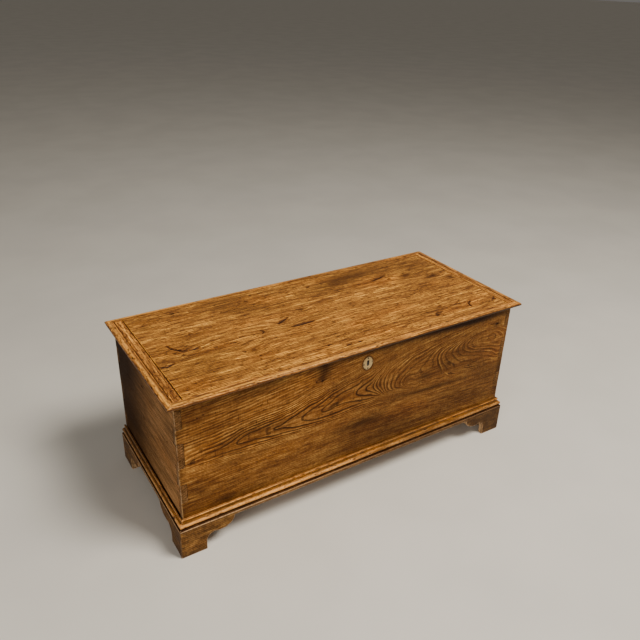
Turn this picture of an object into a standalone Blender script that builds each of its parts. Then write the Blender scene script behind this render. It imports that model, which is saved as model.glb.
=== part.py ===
"""An elm blanket chest with a framed lid, through dovetails, a base moulding and bracket feet.

Metres, +Z up, the front towards -Y and +X to the right. The origin is on the floor under the centre
of the whole chest. The lid turns on two forged strap hinges, and the bolt of the box lock slides.
"""

import math

import bmesh
import bpy
from mathutils import Euler, Matrix, Vector

# Whole chest
BODY_LENGTH = 1.160
BODY_DEPTH = 0.488
TOTAL_HEIGHT = 0.501

# Fits and cuts
CONTACT_GAP = 0.0003
MITRE_GAP = 0.0005
CUT_OVERRUN = 0.003
MERGE_DISTANCE = 0.000001

# Carcass boards, with the tails of the end boards shown as low and high edges up the board
BOARD_THICKNESS = 0.019
TAIL_SHARES = ((0.203, 0.353), (0.503, 0.705), (0.824, 0.971))
DOVETAIL_SLOPE_SHARE = 0.14
BOTTOM_THICKNESS = 0.016
BOTTOM_BOARD_COUNT = 4

# Lid
LID_THICKNESS = 0.020
LID_FRONT_OVERHANG = 0.022
LID_BACK_OVERHANG = 0.012
LEFT_CLEAT_WIDTH = 0.027
RIGHT_CLEAT_WIDTH = 0.021
TONGUE_LENGTH = 0.010
TONGUE_THICKNESS = 0.007
CLEAT_JOINT_GAP = 0.0006
LID_NOSE_HEIGHT = 0.013
LID_NOSE_REACH = 0.009
LID_COVE_START = 0.006
LID_COVE_FLAT = 0.001

# Base moulding
BASE_MOULDING_HEIGHT = 0.028
BASE_MOULDING_REACH = 0.0145
TORUS_HEIGHT = 0.013
TORUS_REACH = 0.006
QUIRK_HEIGHT = 0.003
TOP_BEAD_HEIGHT = 0.0045
TOP_BEAD_REACH = 0.0055

# Plinth and its bracket feet, each foot measured from its outer corner
PLINTH_THICKNESS = 0.017
ARCH_HEIGHT = 0.085
FASCIA_HEIGHT = 0.0125
FOOT_SPREAD = 0.162
TOE_WIDTH = 0.076
TOE_RISE = 0.028
HOLLOW_REACH = 0.024
LOBE_REACH = 0.044
LOBE_DROP = 0.034

# Feet behind the plinth
REAR_FOOT_THICKNESS = 0.016
REAR_FOOT_SPREAD = 0.112
REAR_TOE_WIDTH = 0.058
BLOCK_WIDTH = 0.038
BLOCK_FLOOR_GAP = 0.003

# Strap hinges, each on a pin behind the back board
HINGE_INSET = 0.200
HINGE_PLATE = 0.003
KNUCKLE_RADIUS = 0.005
HINGE_PIN_RADIUS = 0.0025
HINGE_WIDTH = 0.034
STRAP_KNUCKLE_WIDTH = 0.012
KNUCKLE_GAP = 0.0004
STRAP_LENGTH = 0.300
STRAP_TIP_WIDTH = 0.018
STRAP_PENNY_RADIUS = 0.0135
TAIL_LENGTH = 0.105
PIN_HEAD_OVERHANG = 0.0015
STRAP_NAIL_SHARES = (0.16, 0.52, 0.95)
TAIL_NAIL_SHARES = (0.30, 0.60, 0.88)

# Rose-head nails
NAIL_HEAD_RADIUS = 0.0045
NAIL_HEAD_HEIGHT = 0.0022
NAIL_HEAD_RIM = 0.0006
NAIL_SHANK_RADIUS = 0.0016
NAIL_LENGTH = 0.015
NAIL_POINT = 0.005

# Box lock, let into the inner face of the front board
LOCK_OFFSET = 0.007
LOCK_FRONT_WALL = 0.0057
LOCK_PLATE_WIDTH = 0.096
LOCK_PLATE_HEIGHT = 0.054
LOCK_PLATE_THICKNESS = 0.002
SELVAGE_THICKNESS = 0.0025
LOCK_CASE_WIDTH = 0.071
LOCK_CASE_HEIGHT = 0.048
LOCK_CASE_WALL = 0.0016
DRILL_PIN_RADIUS = 0.0014
GUIDE_STUD_RADIUS = 0.002
GUIDE_STUD_SHARES = (-0.15, 0.10)
GUIDE_CLEARANCE = 0.0003

# Bolt of the lock, and the two links of the lid that it shoots through
BOLT_TRAVEL = 0.008
BOLT_BAR_HEIGHT = 0.010
BOLT_BAR_DROP = 0.0155
BOLT_STEM_WIDTH = 0.006
BOLT_NOSE_HEIGHT = 0.0044
BOLT_LINK_GAP = 0.0008
BOLT_TALON_WIDTH = 0.006
BOLT_TALON_DEPTH = 0.0015
BOLT_END_WALL = 0.003
LINK_SPACING = 0.032
LINK_DROP = 0.012
LINK_WIRE = 0.0016
LINK_THICKNESS = 0.003
LINK_SIDE_CLEARANCE = 0.0008
LINK_PLATE_LENGTH = 0.062
LINK_PLATE_WIDTH = 0.014
LINK_PLATE_THICKNESS = 0.002
BOLT_THICKNESS_SHARE = 0.7

# Slotted screws
SCREW_HEAD_RADIUS = 0.0032
SCREW_HEAD_HEIGHT = 0.0017
SCREW_SHANK_RADIUS = 0.0015
SCREW_LENGTH = 0.012
SCREW_POINT = 0.004
SCREW_SLOT_WIDTH = 0.0008
SCREW_SLOT_DEPTH = 0.0008
LOCK_SCREW_INSET = 0.006
LOCK_SCREW_HEIGHT_SHARES = (0.20, 0.78)
LINK_SCREW_INSET = 0.006

# Bone escutcheon with its keyhole, placed down from the top edge of the front board
ESCUTCHEON_WIDTH = 0.034
ESCUTCHEON_HEIGHT = 0.042
ESCUTCHEON_THICKNESS = 0.0025
ESCUTCHEON_PROUD = 0.0005
ESCUTCHEON_DROP = 0.0437
ESCUTCHEON_ROUNDNESS_SHARE = 0.90
KEYHOLE_DROP = 0.0375
KEYHOLE_RADIUS = 0.0025
KEYHOLE_SLOT_WIDTH = 0.0032
KEYHOLE_SLOT_LENGTH = 0.0105
ESCUTCHEON_PIN_RADIUS = 0.0009
ESCUTCHEON_PIN_HEAD = 0.0003
ESCUTCHEON_PIN_INSET = 0.0045
ESCUTCHEON_PIN_DEPTH_SHARE = 0.6

# Sides and steps of round shapes
ROUND_SIDES = 24
NAIL_SIDES = 8
SCREW_SIDES = 12
ESCUTCHEON_SIDES = 44
NOSE_STEPS = 14
COVE_STEPS = 7
HOLLOW_STEPS = 9
LOBE_STEPS = 16
PENNY_STEPS = 12
QUARTER_TURN = math.pi / 2
SMOOTH_ANGLE = math.radians(32.0)

# Turns of a fastener that is made pointing down Z, by the side that it is driven from, and of a rod
FROM_THE_FRONT = (QUARTER_TURN, 0.0, 0.0)
FROM_BEHIND = (-QUARTER_TURN, 0.0, 0.0)
FROM_BELOW = (math.pi, 0.0, 0.0)
ALONG_Y = (0.0, 0.0, QUARTER_TURN)

# Places that follow from the sizes
LEFT_X = -BODY_LENGTH / 2
RIGHT_X = BODY_LENGTH / 2
FRONT_Y = -BODY_DEPTH / 2 + (LID_FRONT_OVERHANG - LID_BACK_OVERHANG) / 2
BACK_Y = FRONT_Y + BODY_DEPTH
INNER_FRONT_Y = FRONT_Y + BOARD_THICKNESS
INNER_BACK_Y = BACK_Y - BOARD_THICKNESS
LID_BACK_LINE_Y = BACK_Y + LID_BACK_OVERHANG - LID_FRONT_OVERHANG
LID_UNDERSIDE = TOTAL_HEIGHT - LID_THICKNESS
CARCASS_TOP = LID_UNDERSIDE - CONTACT_GAP
BOTTOM_TOP = ARCH_HEIGHT + BOTTOM_THICKNESS
CARCASS_BOTTOM = BOTTOM_TOP + CONTACT_GAP
PLINTH_TOP = ARCH_HEIGHT + FASCIA_HEIGHT
PIN_Y = BACK_Y + CONTACT_GAP + KNUCKLE_RADIUS
PIN_Z = LID_UNDERSIDE - CONTACT_GAP - KNUCKLE_RADIUS
HINGE_XS = {"left": LEFT_X + HINGE_INSET, "right": RIGHT_X - HINGE_INSET}

# Places of the lock
LOCK_DEPTH = BOARD_THICKNESS - LOCK_FRONT_WALL
CASE_FRONT_Y = INNER_FRONT_Y - LOCK_DEPTH
CASE_BACK_Y = INNER_FRONT_Y - LOCK_PLATE_THICKNESS - CONTACT_GAP
CASE_TOP = CARCASS_TOP - SELVAGE_THICKNESS - CONTACT_GAP
CAVITY_FRONT_Y = CASE_FRONT_Y + LOCK_CASE_WALL
LINK_Y = (CAVITY_FRONT_Y + CASE_BACK_Y) / 2
LINK_WIDTH = CASE_BACK_Y - CAVITY_FRONT_Y - 2 * LINK_SIDE_CLEARANCE
BOLT_THICKNESS = BOLT_THICKNESS_SHARE * (LINK_WIDTH - 2 * LINK_WIRE)
LINK_XS = (LOCK_OFFSET - LINK_SPACING / 2, LOCK_OFFSET + LINK_SPACING / 2)
KEYHOLE_Z = CARCASS_TOP - KEYHOLE_DROP
ESCUTCHEON_Z = CARCASS_TOP - ESCUTCHEON_DROP


def clear_scene():
    """Remove what the scene holds before the chest is built."""
    for thing in list(bpy.data.objects):
        bpy.data.objects.remove(thing, do_unlink=True)


def finish(name, colour, roughness, metallic=0.0):
    """Return a material with the piece's colour, roughness and metal value."""
    material = bpy.data.materials.new(name)
    material.use_nodes = True
    shader = material.node_tree.nodes["Principled BSDF"]
    shader.inputs["Base Color"].default_value = (*colour, 1.0)
    shader.inputs["Roughness"].default_value = roughness
    shader.inputs["Metallic"].default_value = metallic
    return material


def solid_between(first, second):
    """Return a closed solid whose two ends are outlines with the same number of points."""
    shape = bmesh.new()
    start = [shape.verts.new(point) for point in first]
    end = [shape.verts.new(point) for point in second]
    shape.faces.new(start)
    shape.faces.new(reversed(end))
    for index in range(len(start)):
        following = (index + 1) % len(start)
        shape.faces.new((start[following], start[index], end[index], end[following]))
    bmesh.ops.recalc_face_normals(shape, faces=shape.faces)
    return shape


def prism_x(outline, low, high):
    """Return a solid along X whose outline is given as (y, z) points."""
    return solid_between([(low, y, z) for y, z in outline], [(high, y, z) for y, z in outline])


def prism_y(outline, low, high):
    """Return a solid along Y whose outline is given as (x, z) points."""
    return solid_between([(x, low, z) for x, z in outline], [(x, high, z) for x, z in outline])


def block(low, high):
    """Return a closed box between two opposite corners."""
    low = Vector(low)
    high = Vector(high)
    shape = bmesh.new()
    bmesh.ops.create_cube(shape, size=1.0)
    size = Matrix.Diagonal((high - low).to_4d())
    size[3][3] = 1.0
    bmesh.ops.transform(shape, matrix=Matrix.Translation((low + high) / 2) @ size, verts=shape.verts)
    return shape


def turned(profile, sides):
    """Return a solid turned about Z from (radius, height) points that start and end on the axis."""
    shape = bmesh.new()
    points = [shape.verts.new((radius, 0.0, height)) for radius, height in profile]
    edges = [shape.edges.new(pair) for pair in zip(points, points[1:])]
    bmesh.ops.spin(shape, geom=points + edges, axis=(0, 0, 1), cent=(0, 0, 0),
                   angle=2 * math.pi, steps=sides)
    bmesh.ops.remove_doubles(shape, verts=shape.verts, dist=MERGE_DISTANCE)
    bmesh.ops.recalc_face_normals(shape, faces=shape.faces)
    return shape


def moved(shape, place=(0.0, 0.0, 0.0), turn=(0.0, 0.0, 0.0)):
    """Turn a shape about its own origin, move it to its place and return it."""
    matrix = Matrix.Translation(place) @ Euler(turn).to_matrix().to_4x4()
    bmesh.ops.transform(shape, matrix=matrix, verts=shape.verts)
    return shape


def holes(make_shape, places, turn):
    """Return the clearance holes of fasteners at their places, all turned alike."""
    return [moved(make_shape(CONTACT_GAP), place, turn) for place in places]


def rod(radius, length, sides=ROUND_SIDES):
    """Return a round rod along X, centred on its own middle."""
    half = length / 2
    shape = turned(((0.0, -half), (radius, -half), (radius, half), (0.0, half)), sides)
    return moved(shape, turn=(0.0, QUARTER_TURN, 0.0))


def temporary_object(shape):
    """Link a shape as an object for a Boolean step."""
    mesh = bpy.data.meshes.new("step")
    shape.to_mesh(mesh)
    shape.free()
    thing = bpy.data.objects.new("step", mesh)
    bpy.context.scene.collection.objects.link(thing)
    return thing


def combined(base, others, operation):
    """Return the base after the other shapes are each joined to it or cut from it."""
    base_object = temporary_object(base)
    tools = [temporary_object(other) for other in others]
    for tool in tools:
        step = base_object.modifiers.new("step", "BOOLEAN")
        step.operation = operation
        step.solver = "EXACT"
        step.object = tool
    bpy.context.view_layer.update()
    result = bmesh.new()
    result.from_object(base_object, bpy.context.evaluated_depsgraph_get())
    for thing in (base_object, *tools):
        mesh = thing.data
        bpy.data.objects.remove(thing, do_unlink=True)
        bpy.data.meshes.remove(mesh)
    return result


def cut(base, cutters):
    """Return the base with the cutters taken out of it."""
    return combined(base, cutters, "DIFFERENCE")


def joined(base, others):
    """Return the base with the other shapes grown onto it."""
    return combined(base, others, "UNION")


def add_axis(name, place):
    """Add an empty that carries the pieces of one moving group on its joint's axis."""
    axis = bpy.data.objects.new(name, None)
    axis.location = place
    bpy.context.scene.collection.objects.link(axis)
    return axis


def add_piece(name, shape, material, parent, place=(0.0, 0.0, 0.0), turn=(0.0, 0.0, 0.0), mesh=None):
    """Add one piece of the chest at a place in the world, on the group that carries it."""
    if mesh is None:
        mesh = bpy.data.meshes.new(name)
        shape.to_mesh(mesh)
        shape.free()
        mesh.shade_smooth()
        mesh.set_sharp_from_angle(angle=SMOOTH_ANGLE)
        mesh.materials.append(material)
    piece = bpy.data.objects.new(name, mesh)
    bpy.context.scene.collection.objects.link(piece)
    piece.parent = parent
    piece.location = Vector(place) - parent.location
    piece.rotation_euler = turn
    return piece


def arc(centre, reach, start, end, steps):
    """Return points of an elliptical arc in a plane, both ends included."""
    angles = (start + (end - start) * step / steps for step in range(steps + 1))
    return [(centre[0] + reach[0] * math.cos(angle), centre[1] + reach[1] * math.sin(angle))
            for angle in angles]


def board_height_at(share):
    """Return the height of a share of the way up the carcass boards."""
    return CARCASS_BOTTOM + share * (CARCASS_TOP - CARCASS_BOTTOM)


def end_board_shape():
    """Return an end board lying in the YZ plane, with its outer face at X zero."""
    flare = DOVETAIL_SLOPE_SHARE * BOARD_THICKNESS
    shoulder = INNER_FRONT_Y + CONTACT_GAP
    front_edge = [(shoulder, CARCASS_BOTTOM)]
    for low_share, high_share in TAIL_SHARES:
        low = board_height_at(low_share)
        high = board_height_at(high_share)
        front_edge += [(shoulder, low + flare), (FRONT_Y, low), (FRONT_Y, high), (shoulder, high - flare)]
    front_edge.append((shoulder, CARCASS_TOP))
    back_edge = [(FRONT_Y + BACK_Y - y, z) for y, z in reversed(front_edge)]
    return prism_x(front_edge + back_edge, 0.0, BOARD_THICKNESS)


def socket_cutters(outer_y, inner_y):
    """Return the cutters that let both end boards' tails into a long board."""
    flare_per_depth = DOVETAIL_SLOPE_SHARE * BOARD_THICKNESS / abs(inner_y - outer_y)
    direction = math.copysign(1.0, inner_y - outer_y)
    near = outer_y - direction * CUT_OVERRUN
    far = inner_y + direction * CUT_OVERRUN
    near_flare = -flare_per_depth * CUT_OVERRUN
    far_flare = flare_per_depth * (abs(inner_y - outer_y) + CUT_OVERRUN)
    cutters = []
    for low_share, high_share in TAIL_SHARES:
        low = board_height_at(low_share) - CONTACT_GAP
        high = board_height_at(high_share) + CONTACT_GAP
        outline = [(near, low + near_flare), (near, high - near_flare),
                   (far, high - far_flare), (far, low + far_flare)]
        for outer_x, depth in ((LEFT_X - CUT_OVERRUN, 1), (RIGHT_X + CUT_OVERRUN, -1)):
            inner_x = outer_x + depth * (CUT_OVERRUN + BOARD_THICKNESS + CONTACT_GAP)
            cutters.append(prism_x(outline, outer_x, inner_x))
    return cutters


def screw_shape(clearance=0.0):
    """Return a countersunk screw that points down Z from its flat head, or its clearance hole."""
    head = SCREW_HEAD_RADIUS + clearance
    shank = SCREW_SHANK_RADIUS + clearance
    end = -SCREW_LENGTH - clearance
    mouth = [(0.0, CUT_OVERRUN), (head, CUT_OVERRUN)] if clearance else [(0.0, 0.0)]
    body = [(head, 0.0), (shank, -SCREW_HEAD_HEIGHT), (shank, end + SCREW_POINT), (0.0, end)]
    return turned(mouth + body, SCREW_SIDES)


def slotted_screw_shape():
    """Return a screw with the slot cut across its head."""
    half_slot = SCREW_SLOT_WIDTH / 2
    reach = SCREW_HEAD_RADIUS + CUT_OVERRUN
    slot = block((-reach, -half_slot, -SCREW_SLOT_DEPTH), (reach, half_slot, CUT_OVERRUN))
    return cut(screw_shape(), [slot])


def nail_shape(clearance=0.0):
    """Return a rose-head nail that points down Z from the underside of its head, or its hole."""
    shank = NAIL_SHANK_RADIUS + clearance
    end = -NAIL_LENGTH - clearance
    if clearance:
        profile = ((0.0, CUT_OVERRUN), (shank, CUT_OVERRUN), (shank, end + NAIL_POINT), (0.0, end))
    else:
        profile = ((0.0, NAIL_HEAD_HEIGHT), (NAIL_HEAD_RADIUS, NAIL_HEAD_RIM), (NAIL_HEAD_RADIUS, 0.0),
                   (shank, 0.0), (shank, end + NAIL_POINT), (0.0, end))
    return turned(profile, NAIL_SIDES)


def keyhole_cutter(low_y, high_y):
    """Return the cutter of the keyhole, a round hole with the slot for the key's bit under it."""
    barrel = moved(rod(KEYHOLE_RADIUS, high_y - low_y), (LOCK_OFFSET, (low_y + high_y) / 2, KEYHOLE_Z),
                   ALONG_Y)
    half_slot = KEYHOLE_SLOT_WIDTH / 2
    slot = block((LOCK_OFFSET - half_slot, low_y, KEYHOLE_Z - KEYHOLE_SLOT_LENGTH),
                 (LOCK_OFFSET + half_slot, high_y, KEYHOLE_Z))
    return joined(barrel, [slot])


def escutcheon_outline(clearance=0.0):
    """Return the points of the escutcheon, an oval drawn a little to a point above and below."""
    points = []
    for step in range(ESCUTCHEON_SIDES):
        angle = 2 * math.pi * step / ESCUTCHEON_SIDES
        side = math.copysign(abs(math.cos(angle)) ** (1 / ESCUTCHEON_ROUNDNESS_SHARE), math.cos(angle))
        points.append((LOCK_OFFSET + side * (ESCUTCHEON_WIDTH / 2 + clearance),
                       ESCUTCHEON_Z + math.sin(angle) * (ESCUTCHEON_HEIGHT / 2 + clearance)))
    return points


def escutcheon_pin_places():
    """Return the places of the two pins on the front of the escutcheon."""
    reach = ESCUTCHEON_HEIGHT / 2 - ESCUTCHEON_PIN_INSET
    return [(LOCK_OFFSET, FRONT_Y - ESCUTCHEON_PROUD, ESCUTCHEON_Z + side * reach) for side in (1, -1)]


def escutcheon_pin_shape(clearance=0.0):
    """Return a pin that points down Z from its low domed head, or its hole."""
    inlay = ESCUTCHEON_THICKNESS - ESCUTCHEON_PROUD
    wood = LOCK_FRONT_WALL - inlay - CONTACT_GAP
    radius = ESCUTCHEON_PIN_RADIUS + clearance
    end = -ESCUTCHEON_THICKNESS - ESCUTCHEON_PIN_DEPTH_SHARE * wood - clearance
    top = CUT_OVERRUN if clearance else ESCUTCHEON_PIN_HEAD
    shoulder = top if clearance else 0.0
    profile = [(0.0, top), (radius, shoulder), (radius, end), (0.0, end)]
    return turned(profile, NAIL_SIDES)


def lock_screw_places():
    """Return the places of the screws that hold the lock to the inner face of the front board."""
    reach = LOCK_PLATE_WIDTH / 2 - LOCK_SCREW_INSET
    return [(LOCK_OFFSET + side * reach, INNER_FRONT_Y, CARCASS_TOP - share * LOCK_PLATE_HEIGHT)
            for share in LOCK_SCREW_HEIGHT_SHARES for side in (-1, 1)]


def link_screw_places():
    """Return the places of the screws that hold the link plate under the lid."""
    reach = LINK_PLATE_LENGTH / 2 - LINK_SCREW_INSET
    return [(LOCK_OFFSET + side * reach, LINK_Y, LID_UNDERSIDE) for side in (-1, 1)]


def build_carcass_boards(carcass, finishes):
    """Build the front, back and end boards, dovetailed together, and the bottom boards."""
    front = block((LEFT_X, FRONT_Y, CARCASS_BOTTOM), (RIGHT_X, INNER_FRONT_Y, CARCASS_TOP))
    cutters = socket_cutters(FRONT_Y, INNER_FRONT_Y)
    cutters += front_board_lock_cutters()
    add_piece("front_board", cut(front, cutters), finishes["front"], carcass)

    back = block((LEFT_X, INNER_BACK_Y, CARCASS_BOTTOM), (RIGHT_X, BACK_Y, CARCASS_TOP))
    cutters = socket_cutters(BACK_Y, INNER_BACK_Y)
    notch_floor = LID_UNDERSIDE - HINGE_PLATE - 2 * CONTACT_GAP
    notch_reach = HINGE_WIDTH / 2 + CONTACT_GAP
    for side, x in HINGE_XS.items():
        cutters.append(block((x - notch_reach, INNER_BACK_Y - CUT_OVERRUN, notch_floor),
                             (x + notch_reach, BACK_Y + CUT_OVERRUN, CARCASS_TOP + CUT_OVERRUN)))
        cutters += holes(nail_shape, tail_nail_places(side), FROM_BEHIND)
    add_piece("back_board", cut(back, cutters), finishes["back"], carcass)

    add_piece("left_end_board", end_board_shape(), finishes["ends"], carcass, (LEFT_X, 0.0, 0.0))
    add_piece("right_end_board", end_board_shape(), finishes["ends"], carcass,
              (RIGHT_X - BOARD_THICKNESS, 0.0, 0.0))

    pitch = BODY_LENGTH / BOTTOM_BOARD_COUNT
    for index in range(BOTTOM_BOARD_COUNT):
        low_x = LEFT_X + index * pitch
        high_x = low_x + pitch
        if index < BOTTOM_BOARD_COUNT - 1:
            high_x -= CONTACT_GAP
        shape = block((low_x, FRONT_Y, ARCH_HEIGHT), (high_x, BACK_Y, BOTTOM_TOP))
        add_piece(f"bottom_board_{index + 1}", shape, finishes["bottom"], carcass)


def front_board_lock_cutters():
    """Return the cutters for the lock's mortise, its screws, the keyhole and the escutcheon."""
    half_plate = LOCK_PLATE_WIDTH / 2 + CONTACT_GAP
    half_case = LOCK_CASE_WIDTH / 2 + CONTACT_GAP
    above = CARCASS_TOP + CUT_OVERRUN
    inside = INNER_FRONT_Y + CUT_OVERRUN
    mortise_y = CASE_FRONT_Y - CONTACT_GAP
    plate_floor = CARCASS_TOP - LOCK_PLATE_HEIGHT - CONTACT_GAP
    case_floor = CASE_TOP - LOCK_CASE_HEIGHT - CONTACT_GAP
    pockets = [block((LOCK_OFFSET - half, low_y, floor), (LOCK_OFFSET + half, inside, above))
               for half, low_y, floor in ((half_plate, CASE_BACK_Y, plate_floor),
                                          (half_plate, mortise_y, CASE_TOP),
                                          (half_case, mortise_y, case_floor))]
    inlay_y = FRONT_Y + ESCUTCHEON_THICKNESS - ESCUTCHEON_PROUD + CONTACT_GAP
    inlay = prism_y(escutcheon_outline(CONTACT_GAP), FRONT_Y - CUT_OVERRUN, inlay_y)
    keyhole = keyhole_cutter(FRONT_Y - CUT_OVERRUN, CASE_FRONT_Y + CUT_OVERRUN)
    screws = holes(screw_shape, lock_screw_places(), FROM_BEHIND)
    pins = holes(escutcheon_pin_shape, escutcheon_pin_places(), FROM_THE_FRONT)
    return [*pockets, inlay, keyhole, *screws, *pins]


def edge_strip(profile, length, mitre_low, mitre_high):
    """Return a moulding along X with its profile reaching towards -Y, its ends mitred or square."""
    half = length / 2
    start = []
    end = []
    for reach, height in profile:
        low = half + (reach - MITRE_GAP if mitre_low else 0.0)
        high = half + (reach - MITRE_GAP if mitre_high else 0.0)
        start.append((-low, -reach, height))
        end.append((high, -reach, height))
    return solid_between(start, end)


def lid_edge_profile():
    """Return the section of the lid's edge moulding, a round nose over a small cove."""
    nose_x = LID_FRONT_OVERHANG - LID_NOSE_REACH
    nose_bottom = LID_THICKNESS - LID_NOSE_HEIGHT
    cove_end = nose_x - LID_COVE_FLAT
    cove = arc((cove_end, 0.0), (cove_end - LID_COVE_START, nose_bottom), math.pi, QUARTER_TURN, COVE_STEPS)
    nose = arc((nose_x, nose_bottom + LID_NOSE_HEIGHT / 2), (LID_NOSE_REACH, LID_NOSE_HEIGHT / 2),
               -QUARTER_TURN, QUARTER_TURN, NOSE_STEPS)
    return [(CONTACT_GAP, 0.0)] + cove + nose + [(CONTACT_GAP, LID_THICKNESS)]


def base_moulding_profile():
    """Return the section of the base moulding, a torus between a quirk and a hollow under a bead."""
    torus_x = BASE_MOULDING_REACH - TORUS_REACH
    torus_top = QUIRK_HEIGHT + TORUS_HEIGHT
    bead_bottom = BASE_MOULDING_HEIGHT - TOP_BEAD_HEIGHT
    torus = arc((torus_x, QUIRK_HEIGHT + TORUS_HEIGHT / 2), (TORUS_REACH, TORUS_HEIGHT / 2),
                -QUARTER_TURN, QUARTER_TURN, NOSE_STEPS)
    hollow = arc((torus_x, bead_bottom), (torus_x - TOP_BEAD_REACH, bead_bottom - torus_top),
                 -QUARTER_TURN, -math.pi, COVE_STEPS)
    bead_round = TOP_BEAD_HEIGHT / 2
    bead = arc((TOP_BEAD_REACH, bead_bottom + bead_round), (bead_round, bead_round),
               -QUARTER_TURN, QUARTER_TURN, COVE_STEPS)
    foot = [(CONTACT_GAP, 0.0), (torus_x, 0.0)]
    return foot + torus + hollow[1:-1] + bead + [(CONTACT_GAP, BASE_MOULDING_HEIGHT)]


def build_lid(lid, finishes):
    """Build the lid's panel, its two cleats and the moulding mitred round all four edges."""
    left_joint = LEFT_X + LEFT_CLEAT_WIDTH
    right_joint = RIGHT_X - RIGHT_CLEAT_WIDTH
    tongue_low = LID_UNDERSIDE + (LID_THICKNESS - TONGUE_THICKNESS) / 2
    tongue_high = tongue_low + TONGUE_THICKNESS
    outline = [(left_joint, LID_UNDERSIDE), (right_joint, LID_UNDERSIDE), (right_joint, tongue_low),
               (right_joint + TONGUE_LENGTH, tongue_low), (right_joint + TONGUE_LENGTH, tongue_high),
               (right_joint, tongue_high), (right_joint, TOTAL_HEIGHT), (left_joint, TOTAL_HEIGHT),
               (left_joint, tongue_high), (left_joint - TONGUE_LENGTH, tongue_high),
               (left_joint - TONGUE_LENGTH, tongue_low), (left_joint, tongue_low)]
    panel = prism_y(outline, FRONT_Y, LID_BACK_LINE_Y)
    cutters = [link_plate_pocket(), *holes(screw_shape, link_screw_places(), FROM_BELOW)]
    for side in HINGE_XS:
        cutters += holes(nail_shape, strap_nail_places(side), FROM_BELOW)
    add_piece("lid_panel", cut(panel, cutters), finishes["lid"], lid)

    groove_low = tongue_low - CONTACT_GAP
    groove_high = tongue_high + CONTACT_GAP
    for name, outer_x, joint_x in (("lid_cleat_left", LEFT_X, left_joint),
                                   ("lid_cleat_right", RIGHT_X, right_joint)):
        inward = math.copysign(1.0, joint_x - outer_x)
        face_x = joint_x - inward * CLEAT_JOINT_GAP
        groove_x = joint_x - inward * (TONGUE_LENGTH + CONTACT_GAP)
        outline = [(outer_x, LID_UNDERSIDE), (face_x, LID_UNDERSIDE), (face_x, groove_low),
                   (groove_x, groove_low), (groove_x, groove_high), (face_x, groove_high),
                   (face_x, TOTAL_HEIGHT), (outer_x, TOTAL_HEIGHT)]
        add_piece(name, prism_y(outline, FRONT_Y, LID_BACK_LINE_Y), finishes["cleat"], lid)

    middle_y = (FRONT_Y + LID_BACK_LINE_Y) / 2
    depth = LID_BACK_LINE_Y - FRONT_Y
    strips = {
        "lid_moulding_front": (BODY_LENGTH, (0.0, FRONT_Y), 0.0),
        "lid_moulding_back": (BODY_LENGTH, (0.0, LID_BACK_LINE_Y), math.pi),
        "lid_moulding_left": (depth, (LEFT_X, middle_y), -QUARTER_TURN),
        "lid_moulding_right": (depth, (RIGHT_X, middle_y), QUARTER_TURN),
    }
    for name, (length, place, turn) in strips.items():
        add_piece(name, edge_strip(lid_edge_profile(), length, True, True), finishes["lid_moulding"], lid,
                  (*place, LID_UNDERSIDE), (0.0, 0.0, turn))


def build_base_moulding(carcass, finishes):
    """Build the base moulding along the front and both ends, mitred at the front corners."""
    middle_y = (FRONT_Y + BACK_Y) / 2
    profile = base_moulding_profile()
    add_piece("base_moulding_front", edge_strip(profile, BODY_LENGTH, True, True), finishes["base_moulding"],
              carcass, (0.0, FRONT_Y, PLINTH_TOP))
    add_piece("base_moulding_left", edge_strip(profile, BODY_DEPTH, False, True), finishes["base_moulding"],
              carcass, (LEFT_X, middle_y, PLINTH_TOP), (0.0, 0.0, -QUARTER_TURN))
    add_piece("base_moulding_right", edge_strip(profile, BODY_DEPTH, True, False), finishes["base_moulding"],
              carcass, (RIGHT_X, middle_y, PLINTH_TOP), (0.0, 0.0, QUARTER_TURN))


def foot_profile():
    """Return the lower edge of a bracket foot, as distance from its outer corner and height."""
    lobe_x = FOOT_SPREAD - LOBE_REACH
    hollow_x = TOE_WIDTH + HOLLOW_REACH
    lobe_start = math.acos((hollow_x - lobe_x) / LOBE_REACH)
    hollow_top = ARCH_HEIGHT - LOBE_DROP * math.sin(lobe_start)
    hollow = arc((hollow_x, TOE_RISE), (HOLLOW_REACH, hollow_top - TOE_RISE), math.pi, QUARTER_TURN,
                 HOLLOW_STEPS)
    lobe = arc((lobe_x, ARCH_HEIGHT), (LOBE_REACH, LOBE_DROP), -lobe_start, 0.0, LOBE_STEPS)
    return [(0.0, 0.0), (TOE_WIDTH, 0.0)] + hollow + lobe[1:]


def plinth_board(length, low_corner, high_corner):
    """Return a plinth board along X whose outer face is towards -Y, mitred at its corner ends."""
    low_x = -length / 2 - (PLINTH_THICKNESS if low_corner else 0.0)
    high_x = length / 2 + (PLINTH_THICKNESS if high_corner else 0.0)
    feet = foot_profile()
    outline = [(low_x + distance, height) for distance, height in feet]
    outline += [(high_x - distance, height) for distance, height in reversed(feet)]
    outline += [(high_x, PLINTH_TOP - CONTACT_GAP), (low_x, PLINTH_TOP - CONTACT_GAP)]
    low_inner = -length / 2 + (MITRE_GAP if low_corner else 0.0)
    high_inner = length / 2 - (MITRE_GAP if high_corner else 0.0)
    outer = []
    inner = []
    for x, z in outline:
        on_low_mitre = low_corner and x == low_x
        on_high_mitre = high_corner and x == high_x
        outer_x = x + MITRE_GAP if on_low_mitre else x - MITRE_GAP if on_high_mitre else x
        outer.append((outer_x, -PLINTH_THICKNESS, z))
        inner.append((min(max(x, low_inner), high_inner), -CONTACT_GAP, z))
    return solid_between(outer, inner)


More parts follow.
